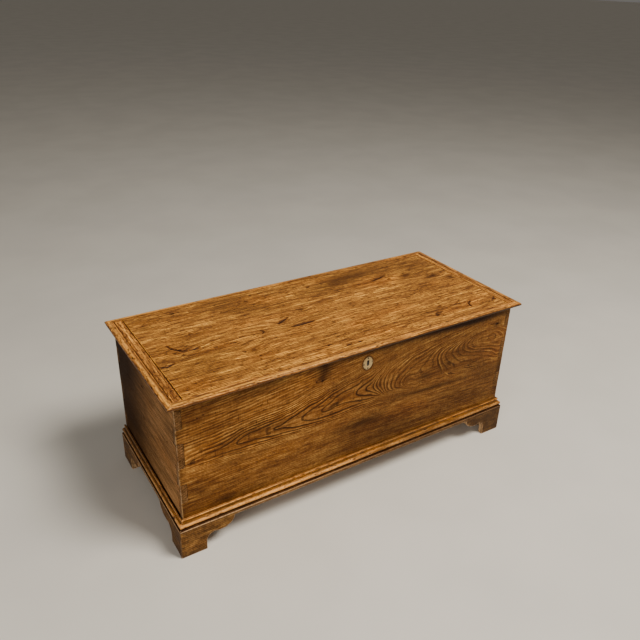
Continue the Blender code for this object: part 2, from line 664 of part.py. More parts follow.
def build_plinth(carcass, finishes):
    """Build the plinth boards with their bracket feet, the rear feet and the corner blocks."""
    middle_y = (FRONT_Y + BACK_Y) / 2
    add_piece("plinth_front", plinth_board(BODY_LENGTH, True, True), finishes["plinth"], carcass,
              (0.0, FRONT_Y, 0.0))
    add_piece("plinth_left", plinth_board(BODY_DEPTH, False, True), finishes["plinth"], carcass,
              (LEFT_X, middle_y, 0.0), (0.0, 0.0, -QUARTER_TURN))
    add_piece("plinth_right", plinth_board(BODY_DEPTH, True, False), finishes["plinth"], carcass,
              (RIGHT_X, middle_y, 0.0), (0.0, 0.0, QUARTER_TURN))

    rear_outline = rear_foot_profile()
    rear_front_y = BACK_Y - REAR_FOOT_THICKNESS
    for side, corner_x in (("left", LEFT_X), ("right", RIGHT_X)):
        inward = -math.copysign(1.0, corner_x)
        outline = [(corner_x + inward * distance, height) for distance, height in rear_outline]
        shape = prism_y(outline, rear_front_y, BACK_Y)
        add_piece(f"rear_foot_{side}", shape, finishes["rear_foot"], carcass)

        low_x = min(corner_x, corner_x + inward * BLOCK_WIDTH)
        block_ys = {"front": FRONT_Y, "back": rear_front_y - CONTACT_GAP - BLOCK_WIDTH}
        for end, low_y in block_ys.items():
            shape = block((low_x, low_y, BLOCK_FLOOR_GAP),
                          (low_x + BLOCK_WIDTH, low_y + BLOCK_WIDTH, ARCH_HEIGHT - CONTACT_GAP))
            add_piece(f"foot_block_{end}_{side}", shape, finishes["block"], carcass)


def rear_foot_profile():
    """Return the outline of a rear foot, a board with one quarter hollow, from its outer end."""
    top = ARCH_HEIGHT - CONTACT_GAP
    hollow = arc((REAR_FOOT_SPREAD, 0.0), (REAR_FOOT_SPREAD - REAR_TOE_WIDTH, top), math.pi, QUARTER_TURN,
                 LOBE_STEPS)
    return [(0.0, 0.0)] + hollow + [(0.0, top)]


def leaf_reach():
    """Return how far from the pin the wide part of a hinge leaf starts."""
    return KNUCKLE_RADIUS + KNUCKLE_GAP


def knuckle_shape(low_x, high_x):
    """Return one knuckle about the X axis with the neck that leads from it towards -Y."""
    plate_low = KNUCKLE_RADIUS - HINGE_PLATE
    neck_end = -(leaf_reach() + HINGE_PLATE)
    join_angle = math.asin(plate_low / KNUCKLE_RADIUS)
    barrel = arc((0.0, 0.0), (KNUCKLE_RADIUS, KNUCKLE_RADIUS), QUARTER_TURN, -math.pi - join_angle,
                 ROUND_SIDES)
    outline = [(neck_end, KNUCKLE_RADIUS)] + barrel + [(neck_end, plate_low)]
    return prism_x(outline, low_x, high_x)


def hinge_leaf(plate_outline, knuckle_spans, nail_distances):
    """Return a hinge leaf about its pin: a plate towards -Y with knuckles, a bore and nail holes."""
    low = KNUCKLE_RADIUS - HINGE_PLATE
    plate = solid_between([(x, y, low) for x, y in plate_outline],
                          [(x, y, KNUCKLE_RADIUS) for x, y in plate_outline])
    leaf = joined(plate, [knuckle_shape(*span) for span in knuckle_spans])
    bore = rod(HINGE_PIN_RADIUS + CONTACT_GAP, HINGE_WIDTH + 2 * CUT_OVERRUN)
    nail_holes = holes(nail_shape, [(0.0, -distance, low) for distance in nail_distances], FROM_BELOW)
    return cut(leaf, [bore, *nail_holes])


def strap_outline():
    """Return the plan of a strap, tapering from the pin to a round penny end."""
    half_root = HINGE_WIDTH / 2
    half_tip = STRAP_TIP_WIDTH / 2
    penny_y = -STRAP_LENGTH + STRAP_PENNY_RADIUS
    open_angle = math.asin(half_tip / STRAP_PENNY_RADIUS)
    penny = arc((0.0, penny_y), (STRAP_PENNY_RADIUS, STRAP_PENNY_RADIUS), QUARTER_TURN - open_angle,
                QUARTER_TURN + open_angle - 2 * math.pi, PENNY_STEPS)
    return [(-half_root, -leaf_reach()), (half_root, -leaf_reach())] + penny


def tail_outline():
    """Return the plan of the leaf on the back board, a plain plate."""
    half = HINGE_WIDTH / 2
    return [(-half, -leaf_reach()), (half, -leaf_reach()), (half, -TAIL_LENGTH), (-half, -TAIL_LENGTH)]


def strap_nail_distances():
    """Return how far each strap nail lies from the pin."""
    return [share * STRAP_LENGTH for share in STRAP_NAIL_SHARES]


def tail_nail_distances():
    """Return how far each nail of the lower leaf lies from the pin."""
    return [share * TAIL_LENGTH for share in TAIL_NAIL_SHARES]


def strap_nail_places(side):
    """Return the places of one strap's nails, on the strap's lower face."""
    z = PIN_Z + KNUCKLE_RADIUS - HINGE_PLATE
    return [(HINGE_XS[side], PIN_Y - distance, z) for distance in strap_nail_distances()]


def tail_nail_places(side):
    """Return the places of one lower leaf's nails, on the leaf's outer face."""
    y = PIN_Y - KNUCKLE_RADIUS + HINGE_PLATE
    return [(HINGE_XS[side], y, PIN_Z - distance) for distance in tail_nail_distances()]


def hinge_pin_shape():
    """Return a hinge pin along X with a low head worked on each end."""
    half = HINGE_WIDTH / 2 + PIN_HEAD_OVERHANG
    neck = HINGE_WIDTH / 2 + CONTACT_GAP
    head = (HINGE_PIN_RADIUS + KNUCKLE_RADIUS) / 2
    profile = [(0.0, -half), (HINGE_PIN_RADIUS, -half), (head, -neck), (HINGE_PIN_RADIUS, -neck),
               (HINGE_PIN_RADIUS, neck), (head, neck), (HINGE_PIN_RADIUS, half), (0.0, half)]
    return moved(turned(profile, ROUND_SIDES), turn=(0.0, QUARTER_TURN, 0.0))


def build_hinges(carcass, lid, finishes):
    """Build both strap hinges with their pins and nails."""
    half_knuckle = STRAP_KNUCKLE_WIDTH / 2
    half_leaf = HINGE_WIDTH / 2
    tail_start = half_knuckle + KNUCKLE_GAP
    tail_spans = ((-half_leaf, -tail_start), (tail_start, half_leaf))
    nail_mesh = None
    for side, x in HINGE_XS.items():
        pin_place = (x, PIN_Y, PIN_Z)
        strap = hinge_leaf(strap_outline(), ((-half_knuckle, half_knuckle),), strap_nail_distances())
        add_piece(f"hinge_strap_{side}", strap, finishes["iron"], lid, pin_place)
        tail = hinge_leaf(tail_outline(), tail_spans, tail_nail_distances())
        add_piece(f"hinge_tail_{side}", tail, finishes["iron"], carcass, pin_place, FROM_THE_FRONT)
        add_piece(f"hinge_pin_{side}", hinge_pin_shape(), finishes["pin"], carcass, pin_place)

        for index, place in enumerate(strap_nail_places(side), start=1):
            seat = Vector(place) - Vector((0.0, 0.0, CONTACT_GAP))
            nail = add_piece(f"strap_nail_{side}_{index}", None if nail_mesh else nail_shape(),
                             finishes["nail"], lid, seat, FROM_BELOW, nail_mesh)
            nail_mesh = nail.data
        for index, place in enumerate(tail_nail_places(side), start=1):
            seat = Vector(place) + Vector((0.0, CONTACT_GAP, 0.0))
            add_piece(f"tail_nail_{side}_{index}", None, finishes["nail"], carcass, seat,
                      FROM_BEHIND, nail_mesh)


def link_plate_pocket():
    """Return the cutter that lets the link plate in flush under the lid."""
    half_length = LINK_PLATE_LENGTH / 2 + CONTACT_GAP
    half_width = LINK_PLATE_WIDTH / 2 + CONTACT_GAP
    return block((LOCK_OFFSET - half_length, LINK_Y - half_width, LID_UNDERSIDE - CUT_OVERRUN),
                 (LOCK_OFFSET + half_length, LINK_Y + half_width,
                  LID_UNDERSIDE + LINK_PLATE_THICKNESS + CONTACT_GAP))


def link_hole_span():
    """Return the lowest and highest point of the hole in each link."""
    low = LID_UNDERSIDE - LINK_DROP + LINK_WIRE
    high = CASE_TOP - BOLT_LINK_GAP
    return low, high


def link_plate_shape():
    """Return the plate under the lid with its two links hanging from it."""
    half_length = LINK_PLATE_LENGTH / 2
    half_width = LINK_PLATE_WIDTH / 2
    plate = block((LOCK_OFFSET - half_length, LINK_Y - half_width, LID_UNDERSIDE),
                  (LOCK_OFFSET + half_length, LINK_Y + half_width, LID_UNDERSIDE + LINK_PLATE_THICKNESS))
    half_link = LINK_WIDTH / 2
    half_hole = half_link - LINK_WIRE
    half_thick = LINK_THICKNESS / 2
    hole_low, hole_high = link_hole_span()
    links = [block((x - half_thick, LINK_Y - half_link, LID_UNDERSIDE - LINK_DROP),
                   (x + half_thick, LINK_Y + half_link, LID_UNDERSIDE + LINK_PLATE_THICKNESS / 2))
             for x in LINK_XS]
    link_holes = [block((x - half_thick - CUT_OVERRUN, LINK_Y - half_hole, hole_low),
                        (x + half_thick + CUT_OVERRUN, LINK_Y + half_hole, hole_high))
                  for x in LINK_XS]
    return cut(joined(plate, links), link_holes + holes(screw_shape, link_screw_places(), FROM_BELOW))


def lock_plate_shape():
    """Return the plate of the lock: back plate, selvage, drill pin and guide studs in one piece."""
    half = LOCK_PLATE_WIDTH / 2
    plate_front_y = INNER_FRONT_Y - LOCK_PLATE_THICKNESS
    plate_low = CARCASS_TOP - LOCK_PLATE_HEIGHT
    selvage_low = CARCASS_TOP - SELVAGE_THICKNESS
    outline = [(plate_front_y, plate_low), (INNER_FRONT_Y, plate_low), (INNER_FRONT_Y, CARCASS_TOP),
               (CASE_FRONT_Y, CARCASS_TOP), (CASE_FRONT_Y, selvage_low), (plate_front_y, selvage_low)]
    plate = prism_x(outline, LOCK_OFFSET - half, LOCK_OFFSET + half)
    pin_y = CAVITY_FRONT_Y + CONTACT_GAP
    plate_middle = INNER_FRONT_Y - LOCK_PLATE_THICKNESS / 2
    pin_middle = (plate_middle + pin_y) / 2
    pin_places = [(DRILL_PIN_RADIUS, LOCK_OFFSET, KEYHOLE_Z)]
    pin_places += [(GUIDE_STUD_RADIUS, x, bolt_bar_z()) for x in guide_stud_xs()]
    pins = [moved(rod(radius, plate_middle - pin_y, SCREW_SIDES), (x, pin_middle, z), ALONG_Y)
            for radius, x, z in pin_places]
    slot_x = LINK_THICKNESS / 2 + LINK_SIDE_CLEARANCE
    slot_y = (LINK_WIDTH + LINK_SIDE_CLEARANCE) / 2
    slots = [block((x - slot_x, LINK_Y - slot_y, CASE_TOP - CUT_OVERRUN),
                   (x + slot_x, LINK_Y + slot_y, CARCASS_TOP + CUT_OVERRUN))
             for x in LINK_XS]
    return cut(joined(plate, pins), slots + holes(screw_shape, lock_screw_places(), FROM_BEHIND))


def lock_case_shape():
    """Return the lock's case, a shallow tray with no top wall and the keyhole through its floor."""
    half = LOCK_CASE_WIDTH / 2
    low_z = CASE_TOP - LOCK_CASE_HEIGHT
    tray = block((LOCK_OFFSET - half, CASE_FRONT_Y, low_z), (LOCK_OFFSET + half, CASE_BACK_Y, CASE_TOP))
    inner = half - LOCK_CASE_WALL
    cavity = block((LOCK_OFFSET - inner, CAVITY_FRONT_Y, low_z + LOCK_CASE_WALL),
                   (LOCK_OFFSET + inner, CASE_BACK_Y + CUT_OVERRUN, CASE_TOP + CUT_OVERRUN))
    return cut(tray, [cavity, keyhole_cutter(CASE_FRONT_Y - CUT_OVERRUN, CAVITY_FRONT_Y + CUT_OVERRUN)])


def bolt_bar_z():
    """Return the height of the middle of the bolt's bar."""
    return CASE_TOP - BOLT_BAR_DROP - BOLT_BAR_HEIGHT / 2


def guide_stud_xs():
    """Return where the two guide studs stand along the lock."""
    return [LOCK_OFFSET + share * LOCK_PLATE_WIDTH for share in GUIDE_STUD_SHARES]


def bolt_shape():
    """Return the bolt drawn back: a slotted bar with two noses that stand short of the links."""
    front_y = LINK_Y - BOLT_THICKNESS / 2
    back_y = LINK_Y + BOLT_THICKNESS / 2
    cut_front_y = front_y - CUT_OVERRUN
    cut_back_y = back_y + CUT_OVERRUN
    bar_low = bolt_bar_z() - BOLT_BAR_HEIGHT / 2
    bar_high = bolt_bar_z() + BOLT_BAR_HEIGHT / 2
    hole_low, hole_high = link_hole_span()
    nose_low = (hole_low + hole_high - BOLT_NOSE_HEIGHT) / 2
    nose_high = nose_low + BOLT_NOSE_HEIGHT
    slot_reach = GUIDE_STUD_RADIUS + GUIDE_CLEARANCE
    bar_start = LINK_XS[0] - LINK_THICKNESS / 2 - BOLT_TRAVEL - BOLT_STEM_WIDTH
    bar_end = max(guide_stud_xs()) + slot_reach + BOLT_END_WALL
    talon_low = LOCK_OFFSET - BOLT_TALON_WIDTH / 2
    talon_high = LOCK_OFFSET + BOLT_TALON_WIDTH / 2
    talon_top = bar_low + BOLT_TALON_DEPTH
    outline = [(bar_start, bar_low), (talon_low, bar_low), (talon_low, talon_top),
               (talon_high, talon_top), (talon_high, bar_low), (bar_end, bar_low), (bar_end, bar_high)]
    for x in reversed(LINK_XS):
        link_edge = x - LINK_THICKNESS / 2
        nose_tip = link_edge - BOLT_LINK_GAP
        stem_high = link_edge - BOLT_TRAVEL
        stem_low = stem_high - BOLT_STEM_WIDTH
        outline += [(stem_high, bar_high), (stem_high, nose_low), (nose_tip, nose_low),
                    (nose_tip, nose_high), (stem_low, nose_high)]
        if stem_low > bar_start:
            outline.append((stem_low, bar_high))
    slots = [block((x - BOLT_TRAVEL - slot_reach, cut_front_y, bolt_bar_z() - slot_reach),
                   (x + slot_reach, cut_back_y, bolt_bar_z() + slot_reach))
             for x in guide_stud_xs()]
    return cut(prism_y(outline, front_y, back_y), slots)


def build_lock(carcass, lid, bolt, finishes):
    """Build the box lock, its bolt and screws, and the link plate under the lid."""
    add_piece("lock_plate", lock_plate_shape(), finishes["lock"], carcass)
    add_piece("lock_case", lock_case_shape(), finishes["lock"], carcass)
    shape = moved(bolt_shape(), -bolt.location)
    add_piece("lock_bolt", shape, finishes["bolt"], bolt, bolt.location)
    add_piece("link_plate", link_plate_shape(), finishes["lock"], lid)

    screw_mesh = None
    for index, place in enumerate(lock_screw_places(), start=1):
        screw = add_piece(f"lock_screw_{index}", None if screw_mesh else slotted_screw_shape(),
                          finishes["screw"], carcass, place, FROM_BEHIND, screw_mesh)
        screw_mesh = screw.data
    for index, place in enumerate(link_screw_places(), start=1):
        add_piece(f"link_screw_{index}", None, finishes["screw"], lid, place, FROM_BELOW, screw_mesh)


def build_escutcheon(carcass, finishes):
    """Build the bone escutcheon and its two pins."""
    front_y = FRONT_Y - ESCUTCHEON_PROUD
    back_y = front_y + ESCUTCHEON_THICKNESS
    cutters = [keyhole_cutter(front_y - CUT_OVERRUN, back_y + CUT_OVERRUN)]
    cutters += holes(escutcheon_pin_shape, escutcheon_pin_places(), FROM_THE_FRONT)
    shape = cut(prism_y(escutcheon_outline(), front_y, back_y), cutters)
    add_piece("escutcheon", shape, finishes["bone"], carcass)
    for name, place in zip(("escutcheon_pin_upper", "escutcheon_pin_lower"), escutcheon_pin_places()):
        add_piece(name, escutcheon_pin_shape(), finishes["brass"], carcass, place, FROM_THE_FRONT)


def make_finishes():
    """Return the materials of the chest's pieces."""
    return {
        "front": finish("elm_front", (0.235, 0.098, 0.026), 0.42),
        "back": finish("elm_back", (0.150, 0.075, 0.032), 0.65),
        "ends": finish("elm_ends", (0.170, 0.080, 0.028), 0.46),
        "bottom": finish("pine_bottom", (0.330, 0.200, 0.100), 0.70),
        "lid": finish("elm_lid", (0.350, 0.160, 0.045), 0.38),
        "cleat": finish("elm_cleat", (0.360, 0.170, 0.050), 0.38),
        "lid_moulding": finish("elm_lid_moulding", (0.330, 0.150, 0.045), 0.36),
        "base_moulding": finish("elm_base_moulding", (0.270, 0.125, 0.038), 0.38),
        "plinth": finish("elm_plinth", (0.190, 0.088, 0.027), 0.45),
        "rear_foot": finish("pine_rear_foot", (0.200, 0.115, 0.055), 0.70),
        "block": finish("pine_block", (0.280, 0.175, 0.090), 0.75),
        "iron": finish("forged_iron", (0.045, 0.040, 0.037), 0.60, 0.9),
        "nail": finish("iron_nail", (0.050, 0.044, 0.040), 0.55, 0.9),
        "pin": finish("iron_pin", (0.070, 0.062, 0.056), 0.45, 0.9),
        "lock": finish("lock_iron", (0.110, 0.100, 0.090), 0.45, 0.9),
        "bolt": finish("bolt_iron", (0.230, 0.215, 0.200), 0.32, 0.9),
        "screw": finish("screw_steel", (0.160, 0.145, 0.125), 0.40, 0.9),
        "bone": finish("bone", (0.560, 0.430, 0.250), 0.40),
        "brass": finish("brass_pin", (0.300, 0.200, 0.080), 0.45, 0.9),
    }


def build_chest():
    """Build the whole chest, with the lid closed and the bolt drawn back."""
    clear_scene()
    finishes = make_finishes()
    carcass = add_axis("carcass", (0.0, 0.0, 0.0))
    lid = add_axis("lid_hinge_axis", (0.0, PIN_Y, PIN_Z))
    bolt = add_axis("bolt_slide", (LOCK_OFFSET, LINK_Y, bolt_bar_z()))
    build_carcass_boards(carcass, finishes)
    build_base_moulding(carcass, finishes)
    build_plinth(carcass, finishes)
    build_lid(lid, finishes)
    build_hinges(carcass, lid, finishes)
    build_lock(carcass, lid, bolt, finishes)
    build_escutcheon(carcass, finishes)


build_chest()
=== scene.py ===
"""Looks of an elm blanket chest with a framed lid, a base moulding, bracket feet and a box lock.

Metres, +Z up, the front towards -Y. Every piece is a worn copy of its solid: its arrises are rubbed
round, its faces wave as hand-planed boards do, and its splits, pits and nicks are cut into the mesh.
Wear, dirt, stains and drawn growth rings are painted on its points, where its finish reads them.
Some of what is painted as stains and dirt is painted shade, and some of the wear a painted highlight.
"""

import logging
import math
from collections.abc import Callable, Sequence
from dataclasses import dataclass, replace
from enum import Enum
from functools import cache

import bmesh
import bpy
import numpy as np
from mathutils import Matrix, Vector, noise

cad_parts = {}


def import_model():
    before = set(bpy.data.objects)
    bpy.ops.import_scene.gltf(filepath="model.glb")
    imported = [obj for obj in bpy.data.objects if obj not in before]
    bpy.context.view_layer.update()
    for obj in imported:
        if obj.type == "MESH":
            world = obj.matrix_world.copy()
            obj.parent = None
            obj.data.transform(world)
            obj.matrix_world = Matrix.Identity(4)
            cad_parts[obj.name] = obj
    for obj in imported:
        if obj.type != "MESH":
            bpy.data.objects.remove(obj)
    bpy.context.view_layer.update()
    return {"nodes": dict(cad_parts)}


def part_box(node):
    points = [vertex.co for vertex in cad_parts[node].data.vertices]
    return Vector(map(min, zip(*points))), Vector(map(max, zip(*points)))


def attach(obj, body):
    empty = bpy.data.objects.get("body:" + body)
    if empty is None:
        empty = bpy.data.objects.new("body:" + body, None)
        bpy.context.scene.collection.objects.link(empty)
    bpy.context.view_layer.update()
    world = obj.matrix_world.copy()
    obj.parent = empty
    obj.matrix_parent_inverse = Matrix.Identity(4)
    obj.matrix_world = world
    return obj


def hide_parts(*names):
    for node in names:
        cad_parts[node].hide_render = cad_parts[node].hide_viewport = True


Colour = tuple[float, float, float]
Point = tuple[float, float]
Place = tuple[float, float, float]
PlaceTest = Callable[[Vector, Vector], bool]
Socket = bpy.types.NodeSocket

LOG = logging.getLogger("chest")
MILLIMETRE = 0.001
MERGE_DISTANCE = 0.000001
CUT_SNAP = 0.00001
MARK_MARGIN = 0.003
FLAT_ANGLE = math.radians(0.5)
SHARP_ANGLE = math.radians(40.0)
SMOOTH_ANGLE = math.radians(38.0)
WORN_ANGLES = (math.radians(10.0), math.radians(24.0))
CREVICE_ANGLES = (math.radians(16.0), math.radians(60.0))
FACING = 0.9
ALONG = 0.99
SEED = 11


class Axis(Enum):
    """An axis of the chest, by its place in a point."""

    X = 0
    Y = 1
    Z = 2

    @property
    def others(self) -> list[int]:
        """Places of the two axes across this one."""
        return [index for index in range(3) if index != self.value]

    @property
    def beside(self) -> "Axis":
        """The level axis across a piece that lies along X or Y."""
        return Axis.Y if self is Axis.X else Axis.X

    def vector(self, along: float = 1.0, across: float = 0.0) -> Place:
        """Return a vector with one number along the axis and another across it.

        Args:
            along: the number along the axis.
            across: the number along the other two.

        Returns:
            The vector.
        """
        numbers = [across] * 3
        numbers[self.value] = along
        return tuple(numbers)


@dataclass(frozen=True)
class Side:
    """A side of a piece: the axis across which it stands, and 1 or -1, the way that it faces."""

    axis: Axis
    outward: float

    def seen(self, normals: np.ndarray) -> np.ndarray:
        """Tell for each normal whether it points out of this side."""
        return normals[:, self.axis.value] * self.outward > 0.5


FRONT = Side(Axis.Y, -1.0)
TOP = Side(Axis.Z, 1.0)


class Figure(Enum):
    """Where a wood's growth rings come from."""

    DRAWN = "rings painted on the piece as an attribute"
    SOLID = "rings round a pith line, cut through by the piece"


class Waves(Enum):
    """Patterns in the wood, by their waves per metre along the grain and across it."""

    DRIFT = (1.5, 5.0)
    BANDS = (2.6, 42.0)
    CLOUDS = (3.2, 8.0)
    WARMTH = (5.0, 14.0)
    RIPPLES = (9.0, 70.0)
    STREAKS = (9.0, 150.0)
    THREADS = (24.0, 340.0)
    FIBRES = (30.0, 1300.0)
    FLECKS = (52.0, 300.0)
    PORES = (60.0, 1500.0)
    TICKS = (210.0, 60.0)


def anywhere(middle: Vector, way: Vector) -> bool:
    """Pass every face and edge."""
    return True


def lying_at(axis: Axis, place: float) -> PlaceTest:
    """Return a test that passes what lies at a place on an axis."""
    return lambda middle, way: abs(middle[axis.value] - place) < CUT_SNAP


def facing(axis: Axis) -> PlaceTest:
    """Return a test that passes faces that look along an axis, either way."""
    return lambda middle, normal: abs(normal[axis.value]) > FACING


def soft_step(values: np.ndarray, low: float, high: float) -> np.ndarray:
    """Return a smooth rise from 0 at low to 1 at high, or a fall where low is above high."""
    share = np.clip((values - low) / (high - low), 0.0, 1.0)
    return share * share * (3.0 - 2.0 * share)


def rolling(places: np.ndarray, scale: Place, seed: float = 0.0) -> np.ndarray:
    """Return smooth noise at some places.

    Args:
        places: points in metres, one a row.
        scale: waves per metre along each axis.
        seed: shift that gives another pattern.

    Returns:
        One number for each place, about -1 to 1.
    """
    return np.array([noise.noise(Vector(row)) for row in places * scale + seed])


@dataclass(frozen=True)
class Oval:
    """An oval area of a face, by its middle and its two half sizes."""

    place: Point
    size: Point

    def measured(self, across: np.ndarray, turn: float) -> tuple[np.ndarray, np.ndarray]:
        """Measure points of the face from the oval's middle, in its half sizes.

        Args:
            across: the points.
            turn: how far the oval is turned, in degrees.

        Returns:
            How far the points lie along it and across it.
        """
        cosine, sine = math.cos(math.radians(turn)), math.sin(math.radians(turn))
        offset = across - self.place
        along = (offset[:, 0] * cosine + offset[:, 1] * sine) / self.size[0]
        over = (offset[:, 1] * cosine - offset[:, 0] * sine) / self.size[1]
        return along, over


@dataclass(frozen=True)
class Dent(Oval):
    """An oval hollow or knot in a face, with its own dirt."""

    depth: float
    turn: float = 0.0
    dirt: float = 0.9

    def reach(self, across: np.ndarray) -> np.ndarray:
        """Return 1 at the middle of the hollow and 0 outside it, for points of the face."""
        return soft_step(np.hypot(*self.measured(across, self.turn)), 1.0, 0.25)

    def near(self, middle: Point) -> bool:
        """Tell whether a point of the face lies at the hollow."""
        return math.dist(middle, self.place) < max(self.size) + MARK_MARGIN


@dataclass(frozen=True)
class Split:
    """A crack along a route of points in a face, widest in its middle."""

    route: tuple[Point, ...]
    width: float
    depth: float
    dirt: float = 1.0

    def reach(self, across: np.ndarray) -> np.ndarray:
        """Return 1 at the bottom of the crack and 0 outside it, for points of the face.

        Args:
            across: the points' places on the face, one a row.

        Returns:
            One number for each point.
        """
        deepest = np.zeros(len(across))
        last = len(self.route) - 1
        for index, (start, end) in enumerate(zip(self.route, self.route[1:])):
            line = np.subtract(end, start)
            share = np.clip((across - start) @ line / (line @ line), 0.0, 1.0)
            away = np.linalg.norm(across - start - share[:, None] * line, axis=1)
            taper = np.sin(math.pi * np.clip((index + share) / last, 0.06, 0.94)) ** 0.5
            deepest = np.maximum(deepest, soft_step(away, self.width / 2, 0.0) * taper)
        return deepest

    def near(self, middle: Point) -> bool:
        """Tell whether a point of the face lies at the crack."""
        return self.distance(middle) < self.width + MARK_MARGIN

    def distance(self, middle: Point) -> float:
        """Return how far a point is from the crack's route.

        Args:
            middle: the point, on the face.

        Returns:
            The distance in metres.
        """
        found = []
        for start, end in zip(self.route, self.route[1:]):
            line = (end[0] - start[0], end[1] - start[1])
            dot = (middle[0] - start[0]) * line[0] + (middle[1] - start[1]) * line[1]
            share = min(max(dot / (line[0] ** 2 + line[1] ** 2), 0.0), 1.0)
            found.append(math.dist(middle, (start[0] + share * line[0], start[1] + share * line[1])))
        return min(found)


@dataclass(frozen=True)
class Stain(Oval):
    """A soft oval patch of darker colour."""

    strength: float
    turn: float = 0.0

    def reach(self, across: np.ndarray) -> np.ndarray:
        """Return how strongly the patch colours points of the face."""
        along, over = self.measured(across, self.turn)
        return self.strength * np.exp(-(along**2) - over**2)


class NodeSheet:
    """The node sheet of one material, with a short method for each kind of node that is used."""

    def __init__(self, name: str) -> None:
        """Start a material of that name.

        Args:
            name: what the material is called.
        """
        self.material = bpy.data.materials.new(name)
        self.material.use_nodes = True
        self.tree = self.material.node_tree
        self.shader = self.tree.nodes["Principled BSDF"]

    def feed(self, socket: Socket, value: object) -> None:
        """Link an input to another node's output, or set it to a number, a vector or a colour.

        Args:
            socket: the input.
            value: the output, number, vector or colour.
        """
        if isinstance(value, Socket):
            self.tree.links.new(value, socket)
        else:
            socket.default_value = (*value, 1.0) if socket.type == "RGBA" else value

    def add(self, kind: str, inputs: dict[int | str, object], **settings: object) -> bpy.types.Node:
        """Add a node, feed its inputs and return it.

        Args:
            kind: the node's type.
            inputs: what goes into its inputs, by number or name.
            settings: the node's own settings.

        Returns:
            The node.
        """
        node = self.tree.nodes.new(kind)
        for key, value in settings.items():
            setattr(node, key, value)
        for key, value in inputs.items():
            self.feed(node.inputs[key], value)
        return node

    def place(self, output: str = "Object") -> Socket:
        """Return the place on the piece, or its normal, in the chest's frame."""
        return self.add("ShaderNodeTexCoord", {}).outputs[output]

    def painted(self, name: str) -> Socket:
        """Return a number painted on the piece."""
        return self.add("ShaderNodeAttribute", {}, attribute_name=name).outputs["Fac"]

    def vector(self, operation: str, first: object, second: object) -> Socket:
        """Return a sum, product or other step of two vectors."""
        return self.add("ShaderNodeVectorMath", {0: first, 1: second}, operation=operation).outputs[0]

    def length(self, value: Socket) -> Socket:
        """Return a vector's length."""
        return self.add("ShaderNodeVectorMath", {0: value}, operation="LENGTH").outputs["Value"]

    def scaled(self, value: object, by: object) -> Socket:
        """Return a vector or colour times a number."""
        return self.add("ShaderNodeVectorMath", {0: value, "Scale": by}, operation="SCALE").outputs[0]

    def sum(self, operation: str, first: object, second: object = 0.0, clamp: bool = False) -> Socket:
        """Return a step of two numbers."""
        node = self.add("ShaderNodeMath", {0: first, 1: second}, operation=operation, use_clamp=clamp)
        return node.outputs[0]

    def times(self, first: object, second: object) -> Socket:
        """Return the product of two numbers."""
        return self.sum("MULTIPLY", first, second)

    def less(self, first: object, second: object) -> Socket:
        """Return the first number less the second."""
        return self.sum("SUBTRACT", first, second)

    def noise(self, place: object, detail: float = 2.0, rough: float = 0.5, output: str = "Fac") -> Socket:
        """Return cloudy noise at a place that is already scaled."""
        inputs = {"Vector": place, "Scale": 1.0, "Detail": detail, "Roughness": rough, "Distortion": 0.0}
        return self.add("ShaderNodeTexNoise", inputs).outputs[output]

    def cells(self, place: object) -> Socket:
        """Return the distance to the nearest of scattered points."""
        inputs = {"Vector": place, "Scale": 1.0, "Randomness": 1.0}
        return self.add("ShaderNodeTexVoronoi", inputs).outputs[0]

    def step(self, value: object, low: object, high: object, start: float = 0.0, end: float = 1.0) -> Socket:
        """Return a smooth change from start to end as the value goes from low to high."""
        inputs = {"Value": value, "From Min": low, "From Max": high, "To Min": start, "To Max": end}
        return self.add("ShaderNodeMapRange", inputs, interpolation_type="SMOOTHSTEP").outputs[0]

    def mix(self, share: object, first: object, second: object, blend: str = "MIX") -> Socket:
        """Return a blend of two colours."""
        inputs = {0: share, 6: first, 7: second}
        return self.add("ShaderNodeMix", inputs, data_type="RGBA", blend_type=blend).outputs[2]

    def set(self, **values: object) -> None:
        """Feed inputs of the shader, whose names have underscores for spaces."""
        for key, value in values.items():
            self.feed(self.shader.inputs[key.replace("_", " ")], value)

    def relief(self, height: Socket, distance: float) -> None:
        """Raise the surface by a height that is 0 to 1 times a distance."""
        node = self.add("ShaderNodeBump", {"Height": height, "Distance": distance, "Strength": 1.0})
        self.set(Normal=node.outputs[0])


@dataclass(frozen=True)
class Finish:
    """A finish of some pieces, by the name of its material."""

    name: str

    @cache
    def material(self) -> bpy.types.Material:
        """Return the finish's material, made the first time that it is asked for.

        Returns:
            The material.
        """
        sheet = NodeSheet(self.name)
        self.lay(sheet)
        return sheet.material

    def lay(self, sheet: NodeSheet) -> None:
        """Lay the finish's nodes on a sheet."""
        raise NotImplementedError


@dataclass(frozen=True)
class RingNodes:
    """What the nodes of a wood give for its growth rings.

    The part is the share of the ring that has grown, and the chance a number of each ring's own. The flow
    is the place with its rings drawn straight, and wide is 1 where they are far apart. Late is the dark
    line that ends a ring, and glow how much its pale part glows.
    """

    part: Socket
    chance: Socket
    flow: Socket
    wide: Socket | float
    late: Socket
    glow: Socket | float


@dataclass(frozen=True)
class GrainNodes:
    """What the nodes of a wood give for its streaks, fibres, pores and flecks."""

    streaks: Socket
    fibres: Socket
    pores: Socket
    flecks: Socket


